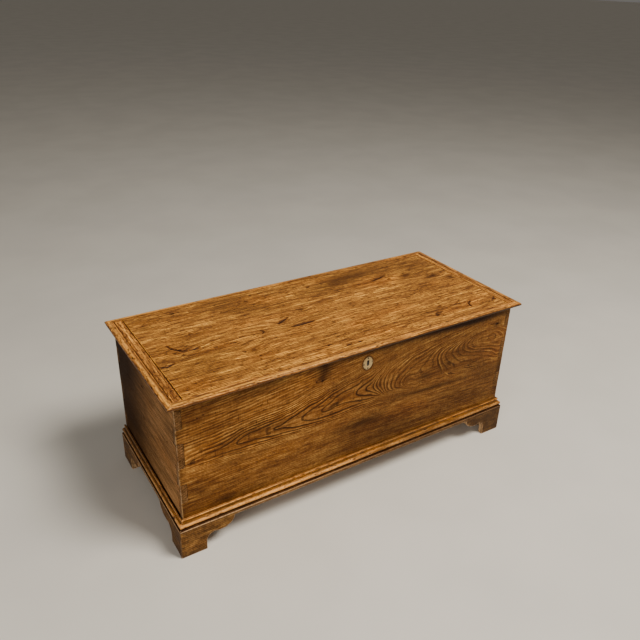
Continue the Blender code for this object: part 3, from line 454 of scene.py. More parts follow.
@dataclass(frozen=True)
class Wood(Finish):
    """A wooden finish with growth rings, pores, patina, wear and dirt, and painted shade and highlights, its
    grain along one axis.
    """

    grain: Axis
    early: Colour
    late: Colour
    aged: Colour
    worn: Colour = (0.52, 0.3, 0.11)
    dirt: Colour = (0.011, 0.0045, 0.0022)
    dirt_rim: Colour = (0.66, 0.44, 0.36)
    warmth: Colour = (1.1, 0.9, 0.68)
    figure: Figure = Figure.SOLID
    pith: Place = (0.0, 0.1, -0.4)
    ring_width: float = 0.0058
    wander: float = 0.014
    ripple: float = 0.0007
    wide_gaps: Point = (0.009, 0.024)
    rings_between: float = 4.0
    between_share: float = 0.16
    ring_share: float = 0.75
    glow_share: float = 0.35
    line_width: float = 0.0072
    band_share: float = 0.27
    streak_base: float = 0.32
    streak_share: float = 1.0
    streak_length: float = 1.0
    thread_share: float = 0.38
    mottle_share: float = 0.18
    mottle_along: float = 16.0
    mottle_across: float = 88.0
    fibre_share: float = 0.16
    pore_share: float = 0.6
    fleck_start: float = 0.62
    fleck_rise: float = 0.07
    patina_share: float = 0.5
    end_share: float = 0.5
    roughness: float = 0.42
    streak_gloss: float = 0.14
    dirt_gloss: float = 0.25
    shine: float = 0.22
    polish: float = 0.08
    polish_roughness: float = 0.24
    sheen_tint: Colour = (1.0, 1.0, 1.0)
    paling: Point = (1.0, 1.1)
    tick_share: float = 0.0
    broken_waves: float = 160.0
    relief: float = 0.0005

    def stretched(self, sheet: NodeSheet, place: Socket, along: float, across: float) -> Socket:
        """Return a place in waves per metre along and across the grain."""
        return sheet.vector("MULTIPLY", place, self.grain.vector(along, across))

    def grained(self, sheet: NodeSheet, place: Socket, along: float, across: float, detail: float) -> Socket:
        """Return noise drawn out along the grain, with waves per metre along and across it."""
        return sheet.noise(self.stretched(sheet, place, along, across), detail, 0.55)

    def ring_number(self, sheet: NodeSheet, place: Socket) -> Socket:
        """Return the count of growth rings from the pith to a place, with its broken part.

        Args:
            sheet: the material's nodes.
            place: the place on the piece.

        Returns:
            The count, whole at the end of each ring.
        """
        if self.figure is Figure.DRAWN:
            ripple = sheet.noise(self.stretched(sheet, place, *Waves.RIPPLES.value))
            gap = sheet.painted("gap")
            ripple = sheet.sum("DIVIDE", sheet.step(ripple, 0.2, 0.8, -self.ripple, self.ripple), gap)
            half_line = sheet.sum("MINIMUM", sheet.sum("DIVIDE", self.line_width * 0.4, gap), 0.25)
            return sheet.sum("ADD", sheet.painted("ring"), sheet.less(ripple, half_line))
        drift = sheet.noise(self.stretched(sheet, place, *Waves.DRIFT.value), output="Color")
        drift = sheet.scaled(sheet.vector("SUBTRACT", drift, (0.5, 0.5, 0.5)), self.wander * 2.0)
        offset = sheet.vector("SUBTRACT", sheet.vector("ADD", place, drift), self.pith)
        away = sheet.length(self.stretched(sheet, offset, 0.0, 1.0))
        return sheet.sum("DIVIDE", away, self.ring_width)

    def flow(self, sheet: NodeSheet, place: Socket, ring: Socket) -> Socket:
        """Return the place along the grain and across the rings, so that streaks follow drawn rings.

        Args:
            sheet: the material's nodes.
            place: the place on the piece.
            ring: the ring number there.

        Returns:
            The place with its rings drawn straight.
        """
        along = sheet.vector("MULTIPLY", place, self.grain.vector())
        across = sheet.scaled(self.grain.vector(0.0, 0.7), sheet.times(ring, self.ring_width))
        return sheet.vector("ADD", along, across)

    def line(self, sheet: NodeSheet, part: Socket, gap: object) -> Socket:
        """Return the dark line that ends each ring, no wider than a few millimetres.

        Args:
            sheet: the material's nodes.
            part: the share of the ring that has grown.
            gap: the distance from ring to ring.

        Returns:
            0 to 1, where 1 is the darkest.
        """
        left = sheet.times(sheet.less(1.0, part), gap)
        width = sheet.sum("MINIMUM", sheet.times(gap, 0.62), self.line_width)
        line = sheet.step(left, width, sheet.times(width, 0.42))
        return sheet.times(line, sheet.step(part, 1.0, 0.96))

    def rings(self, sheet: NodeSheet, place: Socket) -> RingNodes:
        """Lay the nodes of the growth rings.

        Args:
            sheet: the material's nodes.
            place: the place on the piece.

        Returns:
            The nodes that the grain and the colours are made from.
        """
        ring = self.ring_number(sheet, place)
        part = sheet.sum("FRACT", ring)
        lot = sheet.add("ShaderNodeTexWhiteNoise", {"W": sheet.sum("FLOOR", ring)}, noise_dimensions="1D")
        chance = lot.outputs["Value"]
        boldness = sheet.step(chance, 0.0, 1.0, 0.85, 1.0)
        if self.figure is Figure.SOLID:
            late = sheet.times(self.line(sheet, part, self.ring_width), boldness)
            return RingNodes(part, chance, place, 0.0, late, self.glow_share)
        gap = sheet.painted("gap")
        wide = sheet.step(gap, *self.wide_gaps)
        finer = sheet.sum("FRACT", sheet.times(ring, self.rings_between))
        between = self.line(sheet, finer, sheet.times(gap, 1.0 / self.rings_between))
        between = sheet.times(between, sheet.times(wide, self.between_share))
        late = sheet.sum("MAXIMUM", self.line(sheet, part, gap), between)
        late = sheet.times(sheet.times(late, sheet.painted("bold")), boldness)
        glow = sheet.times(sheet.painted("lit"), self.glow_share)
        return RingNodes(part, chance, self.flow(sheet, place, ring), wide, late, glow)

    def streaked(self, sheet: NodeSheet, place: Socket, rings: RingNodes, waves: Waves) -> Socket:
        """Return streaks that follow the rings, or run straight where the rings are far apart.

        Args:
            sheet: the material's nodes.
            place: the place on the piece.
            rings: the nodes of its rings.
            waves: how many streaks there are.

        Returns:
            The streaks, about 0 to 1.
        """
        along, across = waves.value
        drawn_out = along / self.streak_length
        follows = self.grained(sheet, rings.flow, drawn_out, across, 2.0)
        if self.figure is Figure.SOLID:
            return follows
        straight = self.grained(sheet, place, drawn_out, across, 2.0)
        inputs = {0: rings.wide, 2: follows, 3: straight}
        return sheet.add("ShaderNodeMix", inputs, data_type="FLOAT").outputs[0]

    def fine_grain(self, sheet: NodeSheet, place: Socket, rings: RingNodes) -> GrainNodes:
        """Lay the nodes of what is finer than the rings.

        Args:
            sheet: the material's nodes.
            place: the place on the piece.
            rings: the nodes of its rings.

        Returns:
            The nodes of the streaks, fibres, pores and flecks.
        """
        streaks = self.streaked(sheet, place, rings, Waves.STREAKS)
        fibres = self.grained(sheet, place, *Waves.FIBRES.value, 1.0)
        early = sheet.step(rings.part, 0.45, 0.0)
        pore = sheet.step(self.grained(sheet, place, *Waves.PORES.value, 1.0), 0.54, 0.66)
        pores = sheet.times(pore, sheet.step(early, 0.0, 1.0, 0.35, 1.0))
        fleck = self.grained(sheet, rings.flow, *Waves.FLECKS.value, 1.0)
        flecks = sheet.step(fleck, self.fleck_start, self.fleck_start + self.fleck_rise)
        return GrainNodes(streaks, fibres, pores, flecks)

    def tone(self, sheet: NodeSheet, place: Socket, rings: RingNodes, fine: GrainNodes) -> Socket:
        """Return how light the wood is, 1 where nothing glows and no streak passes.

        Args:
            sheet: the material's nodes.
            place: the place on the piece.
            rings: the nodes of its rings.
            fine: the nodes of its fibres.

        Returns:
            What the wood's colour is multiplied by.
        """
        glow = sheet.times(sheet.step(rings.part, 0.36, 0.12), sheet.step(rings.part, 0.0, 0.1))
        glow = sheet.times(glow, sheet.step(rings.chance, 0.9, 0.2, 0.2, 1.0))
        glow = sheet.times(glow, sheet.less(1.0, rings.wide))
        tone = sheet.sum("ADD", 1.0, sheet.times(glow, rings.glow))
        swings = (
            (self.streaked(sheet, place, rings, Waves.BANDS), self.band_share),
            (fine.streaks, self.streak_base),
            (self.streaked(sheet, place, rings, Waves.THREADS), self.thread_share),
            (self.grained(sheet, place, self.mottle_along, self.mottle_across, 3.0), self.mottle_share),
            (fine.fibres, self.fibre_share),
            (self.grained(sheet, place, *Waves.TICKS.value, 2.0), self.tick_share),
        )
        for pattern, share in swings:
            swing = min(self.streak_share * share, 0.8)
            tone = sheet.times(tone, sheet.step(pattern, 0.3, 0.7, 1.0 - swing, 1.0 + swing))
        return tone

    def planed(self, sheet: NodeSheet, rings: RingNodes, tone: Socket) -> Socket:
        """Return the colour of the planed wood, before age and use.

        Args:
            sheet: the material's nodes.
            rings: the nodes of its rings.
            tone: how light the wood is.

        Returns:
            The colour.
        """
        colour = sheet.mix(sheet.times(rings.late, self.ring_share), self.early, self.late)
        green, blue = (sheet.sum("POWER", tone, share) for share in self.paling)
        tones = sheet.add("ShaderNodeCombineXYZ", {0: tone, 1: green, 2: blue}).outputs[0]
        return sheet.vector("MULTIPLY", colour, tones)

    def darkened(self, sheet: NodeSheet, place: Socket, colour: Socket, fine: GrainNodes) -> Socket:
        """Return the colour with its patina, warm clouds, end grain, pores, stains and painted shade.

        Args:
            sheet: the material's nodes.
            place: the place on the piece.
            colour: the colour of the planed wood.
            fine: the nodes of its fibres.

        Returns:
            The colour before wear and dirt.
        """
        cloud = sheet.noise(self.stretched(sheet, place, *Waves.CLOUDS.value), 3.0, 0.6)
        patina = sheet.times(sheet.step(cloud, 0.42, 0.74), self.patina_share)
        colour = sheet.mix(patina, colour, self.aged)
        warm = sheet.noise(self.stretched(sheet, place, *Waves.WARMTH.value), 1.0)
        colour = sheet.mix(sheet.step(warm, 0.45, 0.8, 0.0, 0.5), colour, self.warmth, "MULTIPLY")
        turned = sheet.vector("MULTIPLY", sheet.place("Normal"), self.grain.vector())
        end_grain = sheet.step(sheet.length(turned), 0.55, 0.9)
        colour = sheet.mix(sheet.times(end_grain, self.end_share), colour, self.aged)
        holes = sheet.sum("MAXIMUM", fine.pores, fine.flecks)
        colour = sheet.mix(sheet.times(holes, self.pore_share), colour, self.aged)
        # stains and painted shade, both mixed towards the aged colour
        return sheet.mix(sheet.painted("stain_and_shade"), colour, self.aged)

    def lay(self, sheet: NodeSheet) -> None:
        """Lay the finish's nodes on a sheet.

        Args:
            sheet: the material's nodes.
        """
        place = sheet.place()
        rings = self.rings(sheet, place)
        fine = self.fine_grain(sheet, place, rings)
        colour = self.planed(sheet, rings, self.tone(sheet, place, rings, fine))
        colour = self.darkened(sheet, place, colour, fine)
        broken = sheet.noise(sheet.scaled(place, self.broken_waves), 3.0)
        # wear, and on the mouldings' rounds a painted highlight
        worn = sheet.times(sheet.painted("wear"), sheet.step(broken, 0.3, 0.55, 0.35, 1.0))
        colour = sheet.mix(worn, colour, self.worn)
        # dirt, and in places painted shade: under the lid's nose, in gaps, quirks and the keyhole
        grime = sheet.times(sheet.painted("dirt"), sheet.step(broken, 0.2, 0.6, 0.7, 1.0))
        rim = sheet.times(sheet.sum("POWER", grime, 0.5), 0.8)
        colour = sheet.mix(rim, colour, self.dirt_rim, "MULTIPLY")
        colour = sheet.mix(grime, colour, self.dirt)
        inputs = {0: fine.streaks, 1: self.streak_gloss, 2: self.roughness - self.streak_gloss / 2}
        gloss = sheet.add("ShaderNodeMath", inputs, operation="MULTIPLY_ADD").outputs[0]
        dull = sheet.times(sheet.sum("MAXIMUM", grime, fine.pores), self.dirt_gloss)
        gloss = sheet.sum("ADD", gloss, dull, True)
        height = sheet.times(fine.fibres, 0.35)
        for cut, depth in ((fine.pores, 0.5), (fine.flecks, 0.5), (rings.late, 0.12)):
            height = sheet.less(height, sheet.times(cut, depth))
        sheet.set(Base_Color=colour, Roughness=gloss, Specular_IOR_Level=self.shine, Coat_Weight=self.polish,
                  Coat_Roughness=self.polish_roughness, Specular_Tint=self.sheen_tint)
        sheet.relief(height, self.relief)


@dataclass(frozen=True)
class Iron(Finish):
    """A dark or filed iron with hammer marks, a little rust and rubbed arrises."""

    metal: Colour
    rust: Colour
    bright: Colour
    rust_share: float
    roughness: float
    hammer: float
    metallic: float = 0.85
    dirt: Colour = (0.012, 0.01, 0.009)
    relief: float = 0.0005

    def lay(self, sheet: NodeSheet) -> None:
        """Lay the finish's nodes on a sheet.

        Args:
            sheet: the material's nodes.
        """
        place = sheet.place()
        cloud = sheet.noise(sheet.scaled(place, 45.0), 4.0, 0.65)
        grit = sheet.noise(sheet.scaled(place, 700.0), 3.0, 0.6)
        facets = sheet.cells(sheet.scaled(place, 130.0))
        rust = sheet.times(sheet.step(cloud, 0.45, 0.7), self.rust_share)
        shaded = tuple(share * 0.6 for share in self.metal)
        colour = sheet.mix(sheet.step(grit, 0.3, 0.7, 0.0, 0.5), self.metal, shaded)
        colour = sheet.mix(rust, colour, self.rust)
        colour = sheet.mix(sheet.times(sheet.painted("wear"), 0.6), colour, self.bright)
        colour = sheet.mix(sheet.times(sheet.painted("dirt"), 0.7), colour, self.dirt)
        height = sheet.sum("ADD", sheet.times(facets, self.hammer), sheet.times(grit, 0.25))
        rough = sheet.step(rust, 0.0, 0.8, self.roughness, min(self.roughness + 0.3, 0.95))
        metallic = sheet.step(rust, 0.0, 0.8, self.metallic, 0.25)
        sheet.set(Base_Color=colour, Roughness=rough, Metallic=metallic)
        sheet.relief(height, self.relief)


@dataclass(frozen=True)
class Bone(Finish):
    """Old polished bone, yellowed, with fine dark canals along it."""

    name: str = "yellowed_bone"
    pale: Colour = (0.45, 0.305, 0.115)
    yellow: Colour = (0.4, 0.24, 0.07)
    canal: Colour = (0.12, 0.06, 0.02)
    dirt: Colour = (0.009, 0.005, 0.003)
    polish: float = 0.15
    relief: float = 0.00012

    def lay(self, sheet: NodeSheet) -> None:
        """Lay the finish's nodes on a sheet.

        Args:
            sheet: the material's nodes.
        """
        place = sheet.place()
        cloud = sheet.noise(sheet.scaled(place, 60.0), 3.0, 0.6)
        canal = sheet.noise(sheet.vector("MULTIPLY", place, Axis.Z.vector(350.0, 2600.0)), 1.0)
        canals = sheet.step(canal, 0.6, 0.7, 0.0, 0.55)
        colour = sheet.mix(sheet.step(cloud, 0.35, 0.7), self.pale, self.yellow)
        colour = sheet.mix(canals, colour, self.canal)
        colour = sheet.mix(sheet.painted("stain_and_shade"), colour, self.yellow)
        # dirt, and painted shade round the keyhole
        colour = sheet.mix(sheet.painted("dirt"), colour, self.dirt)
        gloss = sheet.step(canals, 0.0, 0.5, 0.32, 0.6)
        sheet.set(Base_Color=colour, Roughness=gloss, Coat_Weight=self.polish)
        sheet.relief(sheet.less(1.0, canals), self.relief)


class Finishes:
    """The chest's finishes."""

    FRONT = Wood("waxed_elm_front", Axis.X, (0.298, 0.117, 0.0235), (0.026, 0.007, 0.001),
                 (0.026, 0.0076, 0.001), figure=Figure.DRAWN, ring_width=0.0056, ring_share=1.0,
                 glow_share=1.0, streak_share=0.66, line_width=0.0088, thread_share=0.62, mottle_share=0.22,
                 tick_share=0.22, paling=(1.3, 1.5), shine=0.06, polish=0.0)
    LID = Wood("waxed_elm_lid", Axis.X, (0.58, 0.236, 0.042), (0.165, 0.058, 0.01), (0.06, 0.018, 0.004),
               figure=Figure.DRAWN, ring_width=0.0062, ring_share=0.8, glow_share=0.3, streak_share=0.95,
               streak_length=1.5, fleck_start=0.58, pore_share=0.85, line_width=0.0042, thread_share=0.6,
               mottle_share=0.3, tick_share=0.18, paling=(1.14, 1.0), worn=(1.0, 0.41, 0.055), shine=0.16,
               polish=0.05)
    CLEAT = replace(LID, name="waxed_elm_cleats", grain=Axis.Y, figure=Figure.SOLID, pith=(-0.2, 0.0, 0.9),
                    early=(0.62, 0.245, 0.046), ring_share=0.4)
    # The edge mouldings' worn colour also colours the painted highlight on their noses.
    LID_EDGE_X = replace(LID, name="waxed_elm_lid_edge_long", figure=Figure.SOLID, pith=(0.0, -0.1, 0.7),
                         early=(0.6, 0.232, 0.047), shine=0.5, polish=0.0, roughness=0.31,
                         worn=(1.0, 0.45, 0.075), sheen_tint=(1.0, 0.66, 0.33))
    LID_EDGE_Y = replace(LID_EDGE_X, name="waxed_elm_lid_edge_short", grain=Axis.Y, pith=(-0.2, 0.0, 0.7))
    ENDS = Wood("waxed_elm_ends", Axis.Y, (0.42, 0.21, 0.076), (0.16, 0.068, 0.021),
                (0.028, 0.0095, 0.002), pith=(0.0, 0.0, -0.9), ring_width=0.0075, ring_share=0.45,
                end_share=0.2, shine=0.03, polish=0.0, streak_share=0.6, streak_length=2.2, thread_share=0.7,
                mottle_share=0.24, mottle_along=7.0, roughness=0.6, worn=(0.42, 0.27, 0.145))
    BACK = Wood("dry_elm_back", Axis.X, (0.2, 0.112, 0.052), (0.085, 0.042, 0.018), (0.06, 0.031, 0.015),
                worn=(0.3, 0.19, 0.105), pith=(0.0, 0.45, 0.24), wander=0.05, roughness=0.72, polish=0.0,
                streak_share=0.65)
    # The base moulding's worn colour also colours the painted highlight on its round.
    MOULDING_X = Wood("waxed_elm_moulding_long", Axis.X, (0.44, 0.158, 0.02), (0.13, 0.04, 0.005),
                      (0.04, 0.012, 0.002), worn=(1.0, 0.47, 0.13), pith=(0.0, -0.05, 0.8),
                      ring_width=0.004, fleck_start=0.57, pore_share=0.85, shine=0.45, polish=0.0,
                      roughness=0.34, mottle_share=0.35, tick_share=0.25, sheen_tint=(1.0, 0.62, 0.22))
    MOULDING_Y = replace(MOULDING_X, name="waxed_elm_moulding_short", grain=Axis.Y, pith=(-0.2, 0.0, 0.8))
    PLINTH_X = Wood("waxed_elm_plinth_long", Axis.X, (0.184, 0.083, 0.019), (0.09, 0.034, 0.007),
                    (0.026, 0.009, 0.002), worn=(0.68, 0.42, 0.21), pith=(0.0, -0.1, 0.6), shine=0.08,
                    polish=0.0, streak_share=0.5, mottle_share=0.8, mottle_along=34.0, thread_share=0.35,
                    tick_share=0.5, paling=(1.15, 1.3))
    PLINTH_Y = replace(PLINTH_X, name="waxed_elm_plinth_short", grain=Axis.Y, pith=(-0.3, 0.0, 0.6))
    DRY_X = Wood("dry_elm_long", Axis.X, (0.25, 0.145, 0.07), (0.125, 0.066, 0.03), (0.08, 0.043, 0.021),
                 worn=(0.36, 0.24, 0.135), pith=(0.0, 0.06, 0.22), roughness=0.75, polish=0.0,
                 patina_share=0.4, streak_share=0.6)
    DRY_Y = replace(DRY_X, name="dry_elm_short", grain=Axis.Y, pith=(0.0, 0.0, -0.7))
    PINE = Wood("dry_pine", Axis.Y, (0.26, 0.16, 0.08), (0.14, 0.072, 0.031), (0.07, 0.038, 0.019),
                worn=(0.38, 0.26, 0.15), pith=(0.1, 0.0, -0.12), ring_width=0.004, ring_share=0.45,
                wander=0.02, pore_share=0.12, roughness=0.78, polish=0.0, relief=0.0007, patina_share=0.4)
    PINE_BLOCKS = replace(PINE, name="dry_pine_blocks", grain=Axis.Z, pith=(0.7, 0.4, 0.0))
    PINE_FEET = replace(PINE, name="dry_pine_feet", grain=Axis.X, pith=(0.0, 0.5, -0.2))
    FORGED = Iron("forged_iron", (0.055, 0.048, 0.044), (0.085, 0.038, 0.018), (0.22, 0.2, 0.18), 0.6, 0.5,
                  1.0)
    FILED = Iron("filed_iron", (0.15, 0.135, 0.12), (0.11, 0.055, 0.028), (0.36, 0.33, 0.29), 0.45, 0.42,
                 0.2)
    STEEL = Iron("aged_steel", (0.21, 0.19, 0.165), (0.1, 0.055, 0.03), (0.45, 0.42, 0.38), 0.4, 0.38, 0.1)
    BRASS = Iron("dulled_brass", (0.045, 0.028, 0.012), (0.03, 0.018, 0.01), (0.2, 0.13, 0.05), 0.5, 0.5,
                 0.1)
    BONE = Bone()


class Workpiece:
    """A copy of one solid on the bench, and the hand tools that shape, mark and paint it."""

    LONG_WAVES = (4.0, 22.0)
    BITE_WAVES = (60.0, 90.0)

    def __init__(self, node: bpy.types.Object, name: str) -> None:
        """Copy a solid and join its loose triangles into plain faces.

        Args:
            node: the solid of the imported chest.
            name: name of the finished piece.
        """
        mesh = node.data.copy()
        mesh.name = name
        mesh.materials.clear()
        self.node = node.name
        self.object = bpy.data.objects.new(name, mesh)
        bpy.context.scene.collection.objects.link(self.object)
        bpy.ops.object.select_all(action="DESELECT")
        bpy.context.view_layer.objects.active = self.object
        self.object.select_set(True)
        bpy.ops.mesh.customdata_custom_splitnormals_clear()
        bpy.ops.object.mode_set(mode="EDIT")
        bpy.ops.mesh.select_all(action="SELECT")
        bpy.ops.mesh.remove_doubles(threshold=MERGE_DISTANCE)
        bpy.ops.mesh.dissolve_limited(angle_limit=FLAT_ANGLE)
        self.low, self.high = (np.array(corner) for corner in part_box(node.name))

    @property
    def mesh(self) -> bpy.types.Mesh:
        """The piece's mesh."""
        return self.object.data

    def outer(self, axis: Axis) -> float:
        """Return where the side away from the chest's middle lies on an axis."""
        return max(self.low[axis.value], self.high[axis.value], key=abs)

    def inner(self, axis: Axis) -> float:
        """Return where the side towards the chest's middle lies on an axis."""
        return min(self.low[axis.value], self.high[axis.value], key=abs)

    def pick(self, kind: str, test: PlaceTest) -> int:
        """Select faces by their middle and normal, or sharp outward edges by their middle and direction.

        Args:
            kind: FACE or EDGE.
            test: takes a middle, and a normal or a direction.

        Returns:
            How many were found.
        """
        bpy.ops.mesh.select_mode(type=kind)
        bpy.ops.mesh.select_all(action="DESELECT")
        shape = bmesh.from_edit_mesh(self.mesh)
        if kind == "FACE":
            found = [face for face in shape.faces if test(face.calc_center_median(), face.normal)]
        else:
            sharp = [edge for edge in shape.edges if edge.calc_face_angle_signed(0.0) > SHARP_ANGLE]
            ends = [[vertex.co for vertex in edge.verts] for edge in sharp]
            found = [edge for edge, (start, end) in zip(sharp, ends)
                     if test((start + end) / 2, (end - start).normalized())]
        for part in found:
            part.select_set(True)
        bmesh.update_edit_mesh(self.mesh)
        return len(found)

    def rub(self, width: float, segments: int, test: PlaceTest) -> None:
        """Round the chosen arrises, as wear does.

        Args:
            width: how far the rounding reaches from the arris.
            segments: faces across the rounding.
            test: takes an edge's middle and its direction.
        """
        if self.pick("EDGE", test):
            bpy.ops.mesh.bevel(offset=width, segments=segments, affect="EDGES", clamp_overlap=True)

    def on_box(self, middle: Vector, count: int = 2) -> bool:
        """Tell whether a point lies on at least so many sides of the piece's box."""
        near = sum(abs(middle[i] - side[i]) < CUT_SNAP for i in range(3) for side in (self.low, self.high))
        return near >= count

    def on_corner(self, middle: Vector, way: Vector) -> bool:
        """Tell whether an edge is an upright one of the piece's box."""
        return self.on_box(middle) and abs(way.z) > ALONG

    def slice(self, axis: Axis, spacing: float, test: PlaceTest = anywhere,
              span: Point | None = None) -> None:
        """Cut faces into strips with planes across an axis.

        Args:
            axis: the axis that the planes stand across.
            spacing: distance from plane to plane.
            test: picks the faces.
            span: first and last place along the axis, or none for the piece's length.
        """
        low, high = span or (self.low[axis.value], self.high[axis.value])
        count = max(round((high - low) / spacing), 1)
        steps = range(count + 1) if span else range(1, count)
        self.pick("FACE", test)
        bpy.ops.mesh.hide(unselected=True)
        for step in steps:
            place = axis.vector(low + (high - low) * step / count)
            bpy.ops.mesh.select_all(action="SELECT")
            bpy.ops.mesh.bisect(plane_co=place, plane_no=axis.vector(), threshold=CUT_SNAP)
        bpy.ops.mesh.reveal()

    def grid(self, axes: Sequence[Axis], spacing: float, test: PlaceTest = anywhere) -> None:
        """Cut faces into small squares with planes across two axes."""
        for axis in axes:
            self.slice(axis, spacing, test)

    def refine(self, side: Side, cuts: int, marks: Sequence[Dent | Split]) -> None:
        """Divide one side of the piece more finely where marks are to be cut.

        Args:
            side: the side.
            cuts: how many cuts go through a face there.
            marks: the dents and splits to come, in the side's own two axes.
        """
        axis = side.axis.value
        first, second = side.axis.others
        surface = (self.low if side.outward < 0 else self.high)[axis]

        def marked(middle: Vector, normal: Vector) -> bool:
            """Tell whether a face of that side lies at a mark.

            Args:
                middle: the face's middle.
                normal: where the face looks.

            Returns:
                Whether it is one of them.
            """
            sunk = (surface - middle[axis]) * side.outward
            if normal[axis] * side.outward < FACING or sunk > MILLIMETRE:
                return False
            return any(mark.near((middle[first], middle[second])) for mark in marks)

        if self.pick("FACE", marked):
            bpy.ops.mesh.subdivide(number_cuts=cuts)

    def read(self, what: str) -> np.ndarray:
        """Return a vector that the mesh keeps for each point, such as its normal, one a row.

        Args:
            what: the vector's name in the mesh.

        Returns:
            The vectors.
        """
        found = np.empty(len(self.mesh.vertices) * 3, np.float32)
        self.mesh.vertices.foreach_get(what, found)
        return found.reshape(-1, 3).astype(float)

    def places(self) -> np.ndarray:
        """Return the piece's points, one a row, in object mode."""
        bpy.ops.object.mode_set(mode="OBJECT")
        return self.read("co")

    def normals(self) -> np.ndarray:
        """Return the normals at the piece's points."""
        return self.read("normal")

    def shift(self, offsets: np.ndarray) -> None:
        """Move the piece's points by as many offsets."""
        self.mesh.vertices.foreach_set("co", (self.places() + offsets).astype(np.float32).ravel())
        self.mesh.update()

    def painted(self, name: str) -> tuple[bpy.types.Attribute, np.ndarray]:
        """Return the layer of a painted number, made where there is none, and its values.

        Args:
            name: what is painted, such as wear.

        Returns:
            The layer, and a number for each point.
        """
        layer = self.mesh.attributes.get(name)
        if layer is None:
            layer = self.mesh.attributes.new(name, "FLOAT", "POINT")
        kept = np.zeros(len(self.mesh.vertices), np.float32)
        layer.data.foreach_get("value", kept)
        return layer, kept

    def paint(self, name: str, values: np.ndarray) -> None:
        """Keep a number for each point under a name, the larger where it has one."""
        layer, kept = self.painted(name)
        layer.data.foreach_set("value", np.maximum(kept, values).astype(np.float32))

    def wipe(self, name: str, where: np.ndarray, left: float | np.ndarray = 0.0) -> None:
        """Take most of a painted number off the points that are picked.

        Args:
            name: the number's name.
            where: true for each point that is wiped.
            left: the share that stays, one for all or one for each point.
        """
        layer, kept = self.painted(name)
        layer.data.foreach_set("value", np.where(where, kept * left, kept).astype(np.float32))

    def clean(self, where: np.ndarray) -> None:
        """Take all wear and most dirt off the points that are picked, as in a tight joint."""
        self.wipe("wear", where)
        self.wipe("dirt", where, 0.4)

    def feel(self) -> tuple[np.ndarray, np.ndarray]:
        """Return how sharply each point stands out, and how sharply it is sunk, in radians.

        Returns:
            Both angles, a number for each point.
        """
        shape = bmesh.new()
        shape.from_mesh(self.mesh)
        proud = np.zeros(len(shape.verts))
        sunk = np.zeros(len(shape.verts))
        for edge in shape.edges:
            angle = edge.calc_face_angle_signed(0.0)
            kept = proud if angle > 0.0 else sunk
            for vertex in edge.verts:
                kept[vertex.index] = max(kept[vertex.index], abs(angle))
        shape.free()
        return proud, sunk

    def weather(self, wave: float, chips: float, axis: Axis, seed: float) -> None:
        """Wave the piece's faces, chip its arrises unevenly and paint its wear and dirt.

        Args:
            wave: how deep the faces wave.
            chips: how deep the arrises are chipped.
            axis: the grain, along which waves are long.
            seed: shift of the pattern.
        """
        places = self.places()
        proud, sunk = self.feel()
        worn = soft_step(proud, *WORN_ANGLES)
        long_wave = rolling(places, axis.vector(*self.LONG_WAVES), seed)
        bite = rolling(places, axis.vector(*self.BITE_WAVES), seed + 3.0)
        bites = worn * soft_step(bite, 0.12, 0.6)
        depth = wave * (long_wave * 0.5 + 0.5) + chips * (0.25 * worn + bites)
        self.shift(-self.normals() * depth[:, None])
        self.paint("wear", worn * (1.0 - 0.6 * bites))
        self.paint("dirt", np.maximum(0.5 * bites, soft_step(sunk, *CREVICE_ANGLES)))

    def carve(self, side: Side, marks: Sequence[Dent | Split]) -> None:
        """Cut dents and splits into one side of the piece, in its own two axes, and fill them with dirt.

        Args:
            side: the side.
            marks: the dents and splits.
        """
        places = self.places()
        across = places[:, side.axis.others]
        seen = side.seen(self.normals())
        depth = np.zeros(len(places))
        dirt = np.zeros(len(places))
        for mark in marks:
            reach = mark.reach(across) * seen
            depth = np.maximum(depth, reach * mark.depth)
            dirt = np.maximum(dirt, reach**0.4 * mark.dirt)
        offsets = np.zeros_like(places)
        offsets[:, side.axis.value] = -side.outward * depth
        self.shift(offsets)
        self.paint("dirt", dirt)

    def stain_and_shade(self, side: Side, stains: Sequence[Stain]) -> None:
        """Colour soft patches of one side of the piece darker.

        Args:
            side: the side.
            stains: the patches, in the side's own two axes.
        """
        across = self.places()[:, side.axis.others]
        total = sum((patch.reach(across) for patch in stains), np.zeros(len(across)))
        self.paint("stain_and_shade", np.clip(total, 0.0, 1.0) * side.seen(self.normals()))

    def soil(self, face: Axis, width: float, strength: float, seed: float) -> None:
        """Darken a face towards its own borders, where dirt gathers at the joints.

        Args:
            face: the axis across which the face stands.
            width: how far from the borders the dirt reaches.
            strength: how dark it is at them.
            seed: shift of the pattern.
        """
        places = self.places()
        edges = [places[:, i] - self.low[i] for i in face.others]
        edges += [self.high[i] - places[:, i] for i in face.others]
        away = np.min(edges, axis=0) + 0.4 * width * rolling(places, (30.0, 30.0, 30.0), seed)
        self.paint("stain_and_shade", strength * soft_step(away, width, 0.0))

    def finish(self, body: str, slot: str, outside: Finish, *others: tuple[Finish, PlaceTest]) -> None:
        """Hand the piece to its body, in place of its solid.

        Args:
            body: the body that it moves with.
            slot: a name for its finish's slot; not used.
            outside: its finish.
            others: other finishes, each with the test that picks its faces; a later one wins.
        """
        bpy.ops.object.mode_set(mode="OBJECT")
        self.mesh.materials.append(outside.material())
        for index, (finish, picks) in enumerate(others, start=1):
            self.mesh.materials.append(finish.material())
            for face in self.mesh.polygons:
                if picks(face.center, face.normal):
                    face.material_index = index
        bpy.ops.object.shade_smooth_by_angle(angle=SMOOTH_ANGLE)
        self.object.select_set(False)
        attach(self.object, body)
        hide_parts(self.node)
        LOG.info("%s: %d faces on %s", self.object.name, len(self.mesh.polygons), body)


@dataclass
class SubAssembly:
    """Pieces that are made together from the chest's solids."""

    nodes: dict[str, bpy.types.Object]

    def start(self, node: str, suffix: str = "worn") -> Workpiece:
        """Put a copy of a solid on the bench."""
        return Workpiece(self.nodes[node], f"{node}_{suffix}")


